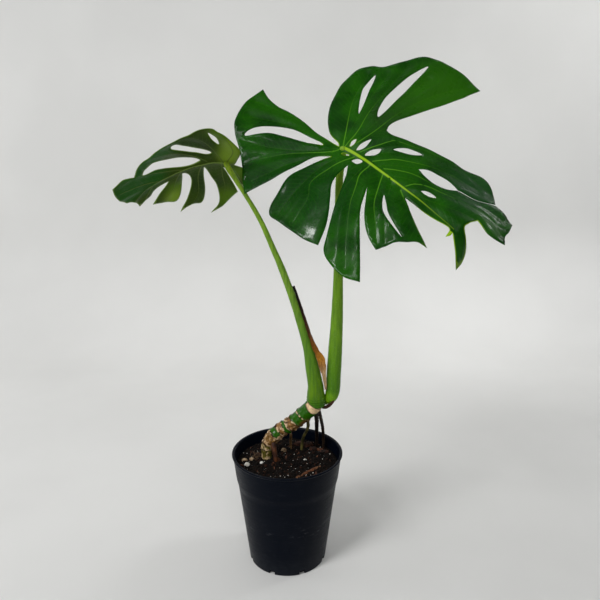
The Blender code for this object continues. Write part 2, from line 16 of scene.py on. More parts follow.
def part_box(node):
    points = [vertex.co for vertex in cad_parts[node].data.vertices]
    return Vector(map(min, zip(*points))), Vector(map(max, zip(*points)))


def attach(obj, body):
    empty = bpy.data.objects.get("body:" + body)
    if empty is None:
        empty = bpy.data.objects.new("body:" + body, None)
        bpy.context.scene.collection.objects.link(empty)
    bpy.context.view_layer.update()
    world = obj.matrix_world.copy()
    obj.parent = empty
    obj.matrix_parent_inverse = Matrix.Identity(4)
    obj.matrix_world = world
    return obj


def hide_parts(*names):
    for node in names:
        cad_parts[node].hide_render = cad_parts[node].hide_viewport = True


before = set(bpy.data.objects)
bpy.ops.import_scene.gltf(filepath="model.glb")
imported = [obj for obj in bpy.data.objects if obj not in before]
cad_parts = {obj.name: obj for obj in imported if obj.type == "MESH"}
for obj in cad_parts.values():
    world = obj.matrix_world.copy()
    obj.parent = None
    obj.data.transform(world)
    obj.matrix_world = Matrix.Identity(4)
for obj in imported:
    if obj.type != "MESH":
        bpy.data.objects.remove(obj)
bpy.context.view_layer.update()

MM = 0.001


def node_box(name):
    """A node's lowest and highest corners in millimetres."""
    low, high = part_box(name)
    return Vector(low) / MM, Vector(high) / MM


POT_HIGH = node_box("pot")[1]

# ---------------------------------------------------------------- driving sizes

POT_HEIGHT = POT_HIGH.z
RIM_RADIUS = POT_HIGH.x
FOOT_RADIUS = 53.0           # outside, at the foot
WALL = 1.6
FLOOR = 3.0                  # thickness of the pot's base
COLLAR_DEPTH = 37.0          # the collar band's height, from the rim down
COLLAR_STEP = 1.2            # how far the collar stands out
COLLAR_LOW = 8.0             # the collar's swell starts this far under its edge
COLLAR_RUN = 13.0            # and takes this much height
LIP = 1.2
LIP_HEIGHT = 3.0
LIP_ROUND = 1.0
FOOT_ROUND = 1.5
POT_SIDES = 160
NOTCHES = 8
NOTCH_WIDTH, NOTCH_HEIGHT = 8.0, 6.0
CREASE_ANGLE = 38.0          # edges of the pot sharper than this stay crisp
SOIL_DROP = 16.0             # from the rim to the soil's edge
SOIL_MOUND = 5.0
SOIL_SIDES, SOIL_ROWS = 180, 56
PATCH_SIDES, PATCH_ROWS = 48, 12
GAP = 0.3                    # between neighbouring pieces

BLADE = 0.5                  # thickness of a leaf
MARGIN_STEP = 2.2            # spacing of points along a leaf's margin
MESH_STEP = 3.4              # spacing of points inside a leaf
MESH_PACKING = 0.55          # inner points keep this share of a step from the rest
RIM_CLEAR = 1.0              # inner points keep this far from the margin
LINE_CLEAR, ROW_CLEAR = 0.9, 1.1
RIB_HALF = 2.2               # half width of the midrib at the stalk
RIB_FADE = 190.0             # the midrib's swell is gone this far from the stalk
VEIN_HALF = 1.3
FOLD = 4.0                   # how far the two halves of a blade fold up
FOLD_REACH = 20.0
CURL_RATE = 0.06
CURL_SIDE = 22.0
CURL_FADE = 10.0
PUFF = 2.4                   # how far the blade swells between side veins
PUFF_REACH = 7.0
PUFF_START = 25.0            # the swelling is full this far from the stalk
FOLD_START = 75.0            # a fold looks as faint as a vein this far along
RIPPLE_REACH = 9.0           # the margin's ripples die out this far inside
RIPPLE_LENGTH = 26.0
THIN_RIM = 3.0               # a blade thins over this width at its margin
FAR = 1e9

LINE_STEP, SKIN_STEP = 1.0, 0.8       # spacing of rings along stalks, roots and stem
STALK_SIDES, BARK_SIDES, STEM_SIDES, HAIR_SIDES = 44, 18, 72, 5
DOME = [math.sin(math.radians(a)) for a in (5, 18, 32, 48, 66)]
RIBBON_STEP, RIBBON_CELLS = 1.5, 14

SOIL_LEVEL = POT_HEIGHT - SOIL_DROP
PLANT = Vector((0.0, 0.0, SOIL_LEVEL))


# ---------------------------------------------------------------- curves and meshes

def smooth_curve(knots, step, closed=False):
    """Points at most `step` apart on a Catmull-Rom curve through the knots."""
    count = len(knots)
    spans = count if closed else count - 1
    points = []
    for i in range(spans):
        if closed:
            a, b, c, d = (knots[(i + k) % count] for k in (-1, 0, 1, 2))
        else:
            b, c = knots[i], knots[i + 1]
            a = knots[i - 1] if i > 0 else b + (b - c)
            d = knots[i + 2] if i + 2 < count else c + (c - b)
        pieces = max(1, math.ceil((c - b).length / step))
        for k in range(pieces):
            t = k / pieces
            points.append(0.5 * (2 * b + (c - a) * t + (2 * a - 5 * b + 4 * c - d) * t ** 2
                                 + (3 * b - 3 * c + d - a) * t ** 3))
    if not closed:
        points.append(knots[-1].copy())
    return points


def run_at(line, i):
    """The way a line runs at its point i."""
    return line[min(i + 1, len(line) - 1)] - line[max(i - 1, 0)]


def blend(a, b, t):
    """A colour the share t of the way from a to b."""
    return tuple(x + (y - x) * t for x, y in zip(a, b))


def circle(radius, sides):
    """Points round a circle, or its middle alone if it has no radius."""
    if radius == 0.0:
        return [(0.0, 0.0)]
    return [(radius * math.cos(2 * math.pi * k / sides),
             radius * math.sin(2 * math.pi * k / sides)) for k in range(sides)]


def stitch(bm, rings, downwards=False):
    """Faces between neighbouring rings; a ring of one point closes a pole."""
    for low, high in zip(rings, rings[1:]):
        count = max(len(low), len(high))
        for k in range(count):
            a, b = (k + 1) % count, k
            if not downwards:
                a, b = b, a
            corners = [low[a % len(low)], low[b % len(low)],
                       high[b % len(high)], high[a % len(high)]]
            bm.faces.new(list(dict.fromkeys(corners)))


def close_sheets(bm, faces, front, rear, rear_material=0):
    """Two facing sheets of the same faces, joined by a wall round every edge."""
    used = set()
    for face in faces:
        bm.faces.new([front[i] for i in face])
        bm.faces.new([rear[i] for i in reversed(face)]).material_index = rear_material
        used.update(zip(face, list(face[1:]) + [face[0]]))
    for a, b in used:
        if (b, a) not in used:
            bm.faces.new((front[b], front[a], rear[a], rear[b]))


def link(name, mesh):
    obj = bpy.data.objects.new(name, mesh)
    bpy.context.scene.collection.objects.link(obj)
    return obj


def piece(name, bm, materials):
    """Link a bmesh, built in millimetres, as an object in metres at the origin."""
    bmesh.ops.scale(bm, vec=(MM, MM, MM), verts=bm.verts)
    mesh = bpy.data.meshes.new(name)
    bm.to_mesh(mesh)
    bm.free()
    for mat in materials:
        mesh.materials.append(mat)
    mesh.shade_smooth()
    return link(name, mesh)


def stands_for(obj, slot, *nodes):
    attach(obj, "root")
    if nodes:
        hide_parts(*nodes)
    return obj


# ---------------------------------------------------------------- shader helpers

class Nodes:
    """Short calls for adding and joining nodes in one tree."""

    def __init__(self, tree):
        self.tree = tree

    def add(self, kind, **values):
        node = self.tree.nodes.new(kind)
        for key, value in values.items():
            setattr(node, key, value)
        return node

    def put(self, socket, value):
        if isinstance(value, bpy.types.NodeSocket):
            self.tree.links.new(value, socket)
        else:
            socket.default_value = value

    def math(self, operation, *values, clamp=False):
        node = self.add("ShaderNodeMath", operation=operation, use_clamp=clamp)
        for socket, value in zip(node.inputs, values):
            self.put(socket, value)
        return node.outputs[0]

    def mix(self, factor, a, b, blend='MIX'):
        node = self.add("ShaderNodeMix", data_type='RGBA', blend_type=blend)
        self.put(node.inputs["Factor"], factor)
        self.put(node.inputs[6], a if isinstance(a, bpy.types.NodeSocket) else (*a, 1.0))
        self.put(node.inputs[7], b if isinstance(b, bpy.types.NodeSocket) else (*b, 1.0))
        return node.outputs[2]

    def step(self, value, low, high, out_low=0.0, out_high=1.0, kind='SMOOTHSTEP'):
        node = self.add("ShaderNodeMapRange", interpolation_type=kind)
        for name, v in (("Value", value), ("From Min", low), ("From Max", high),
                        ("To Min", out_low), ("To Max", out_high)):
            self.put(node.inputs[name], v)
        return node.outputs[0]

    def noise(self, vector, scale, detail=3.0, roughness=0.5):
        node = self.add("ShaderNodeTexNoise")
        self.put(node.inputs["Vector"], vector)
        self.put(node.inputs["Scale"], scale)
        node.inputs["Detail"].default_value = detail
        node.inputs["Roughness"].default_value = roughness
        return node.outputs["Fac"]

    def attribute(self, name, kind="Fac"):
        return self.add("ShaderNodeAttribute", attribute_name=name).outputs[kind]

    def stored(self, name):
        node = self.add("GeometryNodeInputNamedAttribute", data_type='FLOAT')
        node.inputs["Name"].default_value = name
        return node.outputs[0]

    def store(self, geometry, name, value, domain='POINT'):
        node = self.add("GeometryNodeStoreNamedAttribute", data_type='FLOAT', domain=domain)
        self.put(node.inputs["Geometry"], geometry)
        node.inputs["Name"].default_value = name
        self.put(node.inputs["Value"], value)
        return node.outputs[0]

    def scaled(self, vector, factor):
        node = self.add("ShaderNodeVectorMath", operation='SCALE')
        self.put(node.inputs[0], vector)
        self.put(node.inputs["Scale"], factor)
        return node.outputs[0]

    def pushed(self, geometry, reach):
        """The geometry with its points moved along their normals."""
        node = self.add("GeometryNodeSetPosition")
        self.put(node.inputs["Geometry"], geometry)
        normal = self.add("GeometryNodeInputNormal").outputs[0]
        self.put(node.inputs["Offset"], self.scaled(normal, reach))
        return node.outputs[0]

    def stretched(self, vector, upwards):
        """Coordinates that make a pattern run long, or lie flat, in height."""
        node = self.add("ShaderNodeMapping")
        node.inputs["Scale"].default_value = (1.0, 1.0, upwards)
        self.put(node.inputs["Vector"], vector)
        return node.outputs[0]

    def bump(self, height, strength, depth):
        node = self.add("ShaderNodeBump")
        self.put(node.inputs["Strength"], strength)
        self.put(node.inputs["Distance"], depth)
        self.put(node.inputs["Height"], height)
        return node.outputs[0]

    def place(self):
        return self.add("ShaderNodeTexCoord").outputs["Object"]


def shader_group(name, inputs, outputs, build):
    """A shader node group: `build` gets its Nodes, input sockets and output sockets."""
    tree = bpy.data.node_groups.new(name, 'ShaderNodeTree')
    for label, kind, value in inputs:
        socket = tree.interface.new_socket(label, in_out='INPUT', socket_type=kind)
        if value is not None:
            socket.default_value = value
    for label, kind in outputs:
        tree.interface.new_socket(label, in_out='OUTPUT', socket_type=kind)
    nodes = Nodes(tree)
    entry = nodes.add("NodeGroupInput")
    leave = nodes.add("NodeGroupOutput")
    build(nodes, entry.outputs, leave.inputs)
    return tree


def use_group(nodes, tree, **values):
    node = nodes.add("ShaderNodeGroup", node_tree=tree)
    for name, value in values.items():
        nodes.put(node.inputs[name.replace("_", " ")], value)
    return node.outputs


FLOAT, COLOR, VECTOR = 'NodeSocketFloat', 'NodeSocketColor', 'NodeSocketVector'


def build_mottle(n, given, out):
    broad = n.noise(given["Vector"], given["Broad Scale"], 2.0)
    fine = n.noise(given["Vector"], given["Fine Scale"], 4.0, 0.6)
    broad_mask = n.step(broad, 0.35, 0.68)
    fine_mask = n.step(fine, 0.35, 0.70)
    node = n.add("ShaderNodeMix", data_type='RGBA')
    n.put(node.inputs["Factor"], broad_mask)
    n.put(node.inputs[6], given["Dark"])
    n.put(node.inputs[7], given["Light"])
    speck = n.add("ShaderNodeMix", data_type='RGBA', blend_type='MULTIPLY')
    n.put(speck.inputs["Factor"], n.math('MULTIPLY', fine_mask, given["Fleck"]))
    n.put(speck.inputs[6], node.outputs[2])
    speck.inputs[7].default_value = (0.45, 0.48, 0.42, 1.0)
    n.put(out["Color"], speck.outputs[2])
    n.put(out["Mask"], fine_mask)


MOTTLE = shader_group("mottle", [
    ("Vector", VECTOR, None), ("Broad Scale", FLOAT, 30.0), ("Fine Scale", FLOAT, 300.0),
    ("Dark", COLOR, (0.0, 0.1, 0.0, 1.0)), ("Light", COLOR, (0.1, 0.3, 0.1, 1.0)),
    ("Fleck", FLOAT, 0.3)], [("Color", COLOR), ("Mask", FLOAT)], build_mottle)


def build_bumps(n, given, out):
    rough = n.noise(given["Vector"], given["Scale"], 5.0, 0.6)
    n.put(out["Normal"], n.bump(rough, given["Strength"], given["Depth"]))
    n.put(out["Height"], rough)


BUMPS = shader_group("fine_bumps", [
    ("Vector", VECTOR, None), ("Scale", FLOAT, 400.0), ("Strength", FLOAT, 0.3),
    ("Depth", FLOAT, 0.001)], [("Normal", VECTOR), ("Height", FLOAT)], build_bumps)


def build_veins(n, given, out):
    """Line masks from distances in millimetres: to the midrib, to the nearest side
    vein, and along that side vein, which carries the small veins between. The midrib
    narrows and fades towards the tip."""
    off_rib, off_vein, along, edge, root = (n.attribute(a) for a in
        ("rib_mm", "vein_mm", "along_mm", "edge_mm", "root_mm"))
    reach = given["Rib Reach"]
    half = n.math('MULTIPLY', given["Rib Half"], n.step(root, 0.0, reach, 1.0, 0.28, 'LINEAR'))
    rib = n.step(off_rib, n.math('MULTIPLY', half, 0.55), n.math('MULTIPLY', half, 1.15),
                 1.0, 0.0)
    rib = n.math('MULTIPLY', rib, n.step(root, n.math('MULTIPLY', reach, 0.55), reach, 1.0, 0.3))
    side_half = n.step(along, 0.0, 110.0, given["Side Half"], 0.4, 'LINEAR')
    side = n.step(off_vein, n.math('MULTIPLY', side_half, 0.3), side_half, 1.0, 0.0)
    side = n.math('MULTIPLY', side, n.step(along, 12.0, 85.0, 1.0, 0.16))
    side = n.math('MULTIPLY', side, n.step(edge, 0.5, 4.0))
    slope = n.math('ADD', along, n.math('MULTIPLY', off_vein, -0.85))
    wave = n.math('PINGPONG', n.math('DIVIDE', slope, given["Small Gap"]), 0.5)
    small = n.step(wave, 0.0, 0.09, 1.0, 0.0)
    small = n.math('MULTIPLY', small, n.step(edge, 1.0, 5.0))
    n.put(out["Rib"], rib)
    n.put(out["Side"], side)
    n.put(out["Small"], small)
    n.put(out["Edge"], n.step(edge, 0.4, 1.4, 1.0, 0.0))


VEINS = shader_group("leaf_veins", [("Rib Half", FLOAT, RIB_HALF), ("Rib Reach", FLOAT, 150.0),
                                    ("Side Half", FLOAT, 1.3), ("Small Gap", FLOAT, 7.0)],
                     [("Rib", FLOAT), ("Side", FLOAT), ("Small", FLOAT), ("Edge", FLOAT)],
                     build_veins)


def build_drops(n, given, out):
    """Round water beads: their raised shape and a mask of where they lie."""
    cells = n.add("ShaderNodeTexVoronoi")
    n.put(cells.inputs["Vector"], given["Vector"])
    n.put(cells.inputs["Scale"], given["Scale"])
    size = n.add("ShaderNodeSeparateColor")
    n.put(size.inputs[0], cells.outputs["Color"])
    radius = n.step(size.outputs[0], 1.0, 0.0, 0.10, 0.42, 'LINEAR')
    share = n.math('DIVIDE', cells.outputs["Distance"], radius)
    dome = n.step(share, 0.0, 1.0, 1.0, 0.0)
    shown = n.step(size.outputs[1], given["Bare"], n.math('ADD', given["Bare"], 0.02))
    bead = n.math('MULTIPLY', dome, shown)
    n.put(out["Height"], bead)
    n.put(out["Mask"], n.step(bead, 0.05, 0.3))


DROPS = shader_group("water_beads", [("Vector", VECTOR, None), ("Scale", FLOAT, 420.0),
                                     ("Bare", FLOAT, 0.6)],
                     [("Height", FLOAT), ("Mask", FLOAT)], build_drops)


def new_material(name, roughness, specular=0.5, coat=0.0, coat_rough=0.1):
    mat = bpy.data.materials.new(name)
    mat.use_nodes = True
    shader = mat.node_tree.nodes["Principled BSDF"]
    shader.inputs["Roughness"].default_value = roughness
    shader.inputs["Specular IOR Level"].default_value = specular
    shader.inputs["Coat Weight"].default_value = coat
    shader.inputs["Coat Roughness"].default_value = coat_rough
    return mat, Nodes(mat.node_tree), shader


def let_light_in(shader, share, depths):
    """Light scatters a little inside living tissue."""
    shader.inputs["Subsurface Weight"].default_value = share
    shader.inputs["Subsurface Radius"].default_value = depths
    shader.inputs["Subsurface Scale"].default_value = 1.0


def mottled(n, place, dark, light, broad, fine, fleck):
    """Colour that drifts between dark and light, with fine dark flecks."""
    return use_group(n, MOTTLE, Vector=place, Broad_Scale=broad, Fine_Scale=fine,
                     Dark=(*dark, 1.0), Light=(*light, 1.0), Fleck=fleck)["Color"]


def roughen(n, shader, place, scale, strength, depth):
    """Fine lumps on a surface."""
    lumps = use_group(n, BUMPS, Vector=place, Scale=scale, Strength=strength, Depth=depth)
    n.put(shader.inputs["Normal"], lumps["Normal"])


# ---------------------------------------------------------------- leaf materials

def leaf_surface(name, dark, light, rib_colour, side_colour, rib_half, rib_reach, side_half,
                 gloss, side_show, small_show, relief=-0.5):
    """One face of a leaf, over its own `paint` tint of painted light and shade and its `wet`
    mask. `relief` under zero sinks the veins, over zero raises them."""
    mat, n, shader = new_material(name, gloss, specular=0.10, coat_rough=0.07)
    place = n.place()
    tint = mottled(n, place, dark, light, 26.0, 420.0, 0.30)
    lines = use_group(n, VEINS, Rib_Half=rib_half, Rib_Reach=rib_reach, Side_Half=side_half,
                      Small_Gap=6.5)
    # The `paint` tint is painted light and shade.
    paint = n.add("ShaderNodeAttribute", attribute_name="paint")
    colour = n.mix(paint.outputs["Alpha"], tint, paint.outputs["Color"])
    colour = n.mix(n.math('MULTIPLY', lines["Small"], small_show), colour, side_colour)
    colour = n.mix(n.math('MULTIPLY', lines["Side"], side_show), colour, side_colour)
    colour = n.mix(lines["Rib"], colour, rib_colour)
    # The pale rim line is partly the blade's own paler edge, partly painted highlight.
    colour = n.mix(n.math('MULTIPLY', lines["Edge"], n.attribute("pale_rim_and_highlight")), colour,
                   rib_colour)
    n.put(shader.inputs["Base Color"], colour)

    wet = n.attribute("wet")
    patch = n.noise(place, 70.0, 5.0, 0.65)
    soaked = n.math('MULTIPLY', wet, n.step(patch, 0.38, 0.62))
    beads = use_group(n, DROPS, Vector=place, Scale=430.0, Bare=0.72)
    fine = use_group(n, DROPS, Vector=place, Scale=620.0, Bare=0.30)
    beads_here = n.math('MULTIPLY', beads["Mask"], n.step(wet, 0.05, 0.5, 0.25, 1.0))
    n.put(shader.inputs["Coat Weight"],
          n.math('ADD', n.math('MULTIPLY', soaked, 0.85), n.math('MULTIPLY', beads_here, 0.5),
                 clamp=True))
    n.put(shader.inputs["Roughness"],
          n.math('SUBTRACT', n.step(patch, 0.3, 0.7, gloss + 0.10, gloss - 0.05),
                 n.math('MULTIPLY', soaked, 0.08)))
    height = n.math('MULTIPLY', lines["Side"], relief)
    height = n.math('ADD', height, n.math('MULTIPLY', lines["Small"], 0.30 * relief))
    height = n.math('ADD', height, n.math('MULTIPLY', n.noise(place, 260.0, 4.0), 0.20))
    height = n.math('ADD', height, n.math('MULTIPLY', fine["Height"],
                                          n.math('MULTIPLY', soaked, 1.8)))
    height = n.math('ADD', height, n.math('MULTIPLY', beads["Height"],
                                          n.math('MULTIPLY', beads_here, 0.8)))
    n.put(shader.inputs["Normal"], n.bump(height, 0.35, 0.0012))
    let_light_in(shader, 0.04, (0.002, 0.004, 0.001))
    return mat


LEAF_TOP = leaf_surface("leaf_top", (0.0030, 0.040, 0.0003), (0.012, 0.094, 0.0006),
                        (0.27, 0.47, 0.010), (0.075, 0.25, 0.008), RIB_HALF, 150.0, 1.15,
                        0.30, 0.85, 0.10)
LEAF_UNDER = leaf_surface("leaf_under", (0.022, 0.085, 0.010), (0.042, 0.125, 0.016),
                          (0.22, 0.36, 0.05), (0.10, 0.21, 0.03), RIB_HALF, 170.0, 1.3,
                          0.46, 0.65, 0.20, relief=0.5)
SMALL_TOP = leaf_surface("small_leaf_top", (0.006, 0.050, 0.002), (0.014, 0.082, 0.003),
                         (0.24, 0.42, 0.03), (0.050, 0.16, 0.015), 1.1, 110.0, 0.9,
                         0.30, 0.50, 0.12)
SMALL_UNDER = leaf_surface("small_leaf_under", (0.022, 0.040, 0.004), (0.036, 0.062, 0.007),
                           (0.16, 0.25, 0.045), (0.090, 0.135, 0.020), 1.2, 130.0, 1.1,
                           0.42, 0.75, 0.25, relief=0.7)


# ---------------------------------------------------------------- leaf blades

class Blade:
    """A leaf surface: flat coordinates p along the midrib and q across it, bent by a
    droop that grows with the square of the distance from the stalk and, past a crease
    at `curl_start`, a tip that hangs."""

    def __init__(self, origin, along, across, reach, droop, seam, curl_start=None):
        self.origin = Vector(origin)
        self.p_axis = Vector(along).normalized()
        self.q_axis = (Vector(across) - Vector(across).dot(self.p_axis) * self.p_axis).normalized()
        self.normal = self.p_axis.cross(self.q_axis)
        self.reach = reach
        self.droop = droop
        self.seam = seam
        self.curl_start = curl_start

    def rise(self, p, q):
        bearing = math.degrees(math.atan2(q, p))
        if bearing > self.seam:
            bearing -= 360.0
        level = self.droop[-1][1]
        for (a, low), (b, high) in zip(self.droop, self.droop[1:]):
            if bearing <= b:
                t = max(0.0, (bearing - a) / (b - a))
                t = t * t * (3.0 - 2.0 * t)
                level = low + (high - low) * t
                break
        fold = FOLD * (1.0 - math.exp(-abs(q) / FOLD_REACH))
        curl = 0.0
        if self.curl_start is not None and p > self.curl_start:
            t = min(1.0, max(0.0, (CURL_SIDE - q) / CURL_FADE))
            curl = CURL_RATE * (p - self.curl_start) ** 2 * t * t * (3.0 - 2.0 * t)
        return level * (math.hypot(p, q) / self.reach) ** 2 + fold - curl

    def at(self, p, q):
        return (PLANT + self.origin + p * self.p_axis + q * self.q_axis
                + self.rise(p, q) * self.normal)

    def normal_at(self, p, q):
        d = 0.5
        dp = self.at(p + d, q) - self.at(p - d, q)
        dq = self.at(p, q + d) - self.at(p, q - d)
        return dp.cross(dq).normalized()


def inside_mask(points, loops):
    """Even-odd test of an (n, 2) array against closed loops of 2-D points."""
    hit = np.zeros(len(points), bool)
    for loop in loops:
        a = np.array([tuple(v) for v in loop])
        b = np.roll(a, -1, axis=0)
        for (ax, ay), (bx, by) in zip(a, b):
            if ay == by:
                continue
            cross = (ay > points[:, 1]) != (by > points[:, 1])
            hit ^= cross & (points[:, 0] < ax + (points[:, 1] - ay) * (bx - ax) / (by - ay))
    return hit


def distance_to(points, line):
    """Distance from each point to a polyline, and how far along the line it is."""
    a = np.array([tuple(v) for v in line])
    starts, ends = a[:-1], a[1:]
    run = ends - starts
    length = np.linalg.norm(run, axis=1)
    before = np.concatenate([[0.0], np.cumsum(length)[:-1]])
    best = np.full(len(points), FAR)
    along = np.zeros(len(points))
    for s, r, size, d0 in zip(starts, run, length, before):
        t = np.clip(((points - s) @ r) / max(size * size, 1e-9), 0.0, 1.0)
        gap = np.linalg.norm(points - (s + t[:, None] * r), axis=1)
        closer = gap < best
        best = np.where(closer, gap, best)
        along = np.where(closer, d0 + t * size, along)
    return best, along


def near_spots(spots, marks):
    """Share, 0 to 1, of each point's nearness to round (p, q, reach, share) marks."""
    share = np.zeros(len(spots))
    for p, q, reach, most in marks:
        gap = np.hypot(spots[:, 0] - p, spots[:, 1] - q) / reach
        share = np.maximum(share, most * np.exp(-gap ** 3))
    return share


def leaf(name, blade, margin, slits, rib_line, vein_lines, folds, materials, slot, wave,
         light_and_shade_tints, wet_marks, pale_rim_and_highlight_marks):
    """A leaf from its outline, slits and veins. `light_and_shade_tints` are round (p, q, reach,
    colour) tints of painted light and shade; the marks say where it is wet and where its rim
    is pale, partly as painted highlight. Lines of `folds` only crease the blade, with a faint
    line along them."""
    outline = []
    for run in margin:
        outline += smooth_curve([Vector(k) for k in run], MARGIN_STEP)[:-1]
    loops = [outline]
    loops += [smooth_curve([Vector(k) for k in s], MARGIN_STEP, closed=True) for s in slits]
    rim = np.array([tuple(v) for loop in loops for v in loop])
    edges = []
    start = 0
    for loop in loops:
        count = len(loop)
        edges += [(start + k, start + (k + 1) % count) for k in range(count)]
        start += count

    rib = smooth_curve([Vector(k) for k in rib_line], MESH_STEP)
    veins = [smooth_curve([Vector(k) for k in line], MESH_STEP) for line in vein_lines + folds]
    points = [tuple(v) for v in rim]

    def keep_clear(candidates, others, gap):
        candidates = np.array(candidates)
        candidates = candidates[inside_mask(candidates, loops)]
        if len(candidates) == 0:
            return candidates
        near = np.full(len(candidates), FAR)
        for block in np.array_split(np.array(others), max(1, len(others) // 400)):
            gaps = np.linalg.norm(candidates[:, None, :] - block[None, :, :], axis=2)
            near = np.minimum(near, gaps.min(axis=1))
        return candidates[near > gap]

    line_points = []
    for line, half in [(rib, RIB_HALF)] + [(v, VEIN_HALF) for v in veins]:
        for row in (0.0, -half, half):
            offsets = []
            for i, k in enumerate(line):
                d = run_at(line, i).normalized()
                offsets.append((k.x - d.y * row, k.y + d.x * row))
            gap = LINE_CLEAR if row == 0.0 else ROW_CLEAR
            fresh = keep_clear(offsets, rim, RIM_CLEAR)
            if len(fresh) and line_points:
                fresh = keep_clear(fresh, line_points, gap)
            line_points += [tuple(v) for v in fresh]
    points += line_points

    low, high = rim.min(axis=0), rim.max(axis=0)
    row_height = MESH_STEP * math.sqrt(3.0) / 2.0
    grid = [(low[0] + (col + 0.5 * (row % 2)) * MESH_STEP, low[1] + row * row_height)
            for row in range(int((high[1] - low[1]) / row_height) + 1)
            for col in range(int((high[0] - low[0]) / MESH_STEP) + 1)]
    grid = keep_clear(grid, np.vstack([rim, np.array(line_points)]), MESH_PACKING * MESH_STEP)
    points += [tuple(v) for v in grid]

    flat, _, faces, _, _, _ = geometry.delaunay_2d_cdt(
        [Vector(v) for v in points], edges, [], 0, 1e-5)
    spots = np.array([tuple(v) for v in flat])
    middles = np.array([sum((flat[i] for i in f), Vector((0, 0))) / 3.0 for f in faces])
    kept = inside_mask(middles, loops)

    rib_gap, _ = distance_to(spots, rib)
    vein_gap = np.full(len(spots), FAR)
    vein_run = np.zeros(len(spots))
    for index, line in enumerate(veins):
        gap, run = distance_to(spots, line)
        if index >= len(vein_lines):
            run = run + FOLD_START
        closer = gap < vein_gap
        vein_gap = np.where(closer, gap, vein_gap)
        vein_run = np.where(closer, run, vein_run)
    edge_gap = np.full(len(spots), FAR)
    for loop in loops:
        gap, _ = distance_to(spots, loop + loop[:1])
        edge_gap = np.minimum(edge_gap, gap)
    from_stalk = np.linalg.norm(spots, axis=1)
    wet = near_spots(spots, wet_marks).tolist()
    # Pale rim: partly the blade's own edge, partly painted highlight.
    pale = near_spots(spots, pale_rim_and_highlight_marks).tolist()
    # Painted light and shade, blended from the round tints.
    light_and_shade_colour = np.zeros((len(spots), 4))
    for p, q, reach, colour in light_and_shade_tints:
        share = near_spots(spots, [(p, q, reach, 1.0)])[:, None]
        light_and_shade_colour = light_and_shade_colour * (1.0 - share) + np.array([*colour, 1.0]) * share
    full = np.maximum(light_and_shade_colour[:, 3:], 1e-4)
    light_and_shade_colour = np.hstack([light_and_shade_colour[:, :3] / full, light_and_shade_colour[:, 3:]]).tolist()
    rib_gap, vein_gap, vein_run, edge_gap, from_stalk = (
        a.tolist() for a in (rib_gap, vein_gap, vein_run, edge_gap, from_stalk))

    bm = bmesh.new()
    layers = [(bm.verts.layers.float.new(label), values) for label, values in (
        ("rib_mm", rib_gap), ("vein_mm", vein_gap), ("along_mm", vein_run),
        ("edge_mm", edge_gap), ("root_mm", from_stalk), ("wet", wet), ("pale_rim_and_highlight", pale))]
    paint = bm.verts.layers.float_color.new("paint")
    top, bottom = [], []
    for k, (p, q) in enumerate(spots.tolist()):
        nearest = min(vein_gap[k], rib_gap[k])
        puff = PUFF * (1.0 - math.exp(-(nearest / PUFF_REACH) ** 2)) - 0.5 * PUFF
        puff *= min(1.0, from_stalk[k] / PUFF_START)
        ripple = wave * math.exp(-edge_gap[k] / RIPPLE_REACH) * noise.noise(
            (p / RIPPLE_LENGTH, q / RIPPLE_LENGTH, 3.7))
        up = blade.normal_at(p, q)
        centre = blade.at(p, q) + (puff + ripple) * up
        rib_swell = math.exp(-(rib_gap[k] / RIB_HALF) ** 2)
        rib_swell *= 1.0 - min(1.0, from_stalk[k] / RIB_FADE) ** 1.5
        thick = 0.5 * BLADE * min(1.0, 0.35 + edge_gap[k] / THIN_RIM)
        top.append(bm.verts.new(centre + (thick + 0.5 * rib_swell) * up))
        bottom.append(bm.verts.new(centre - (thick + 1.5 * rib_swell) * up))
        for vert in (top[-1], bottom[-1]):
            for layer, values in layers:
                vert[layer] = values[k]
            vert[paint] = light_and_shade_colour[k]
    close_sheets(bm, [f for f, inside in zip(faces, kept) if inside], top, bottom, 1)
    for vert in [v for v in bm.verts if not v.link_faces]:
        bm.verts.remove(vert)
    obj = piece(name + "_blade", bm, materials)
    return stands_for(obj, slot, name)


LEFT_BLADE = Blade((-73, 10, 398), (-0.9995, -0.013, -0.028), (-0.006, -0.80, 0.60), 80.0,
                   [(-180, -4), (-90, -12), (-45, -20), (0, -20), (45, -20), (90, -12),
                    (180, -4)], 179.0)
MAIN_BLADE = Blade((69, 5, 415), (0.64, -0.61, -0.44), (0.58, 0.40, 0.70), 200.0,
                   [(-185, 70), (-150, 70), (-120, 30), (-90, 5), (-45, -15), (0, -25),
                    (30, -65), (60, -45), (90, -10), (175, -10)], 175.0, curl_start=172.0)

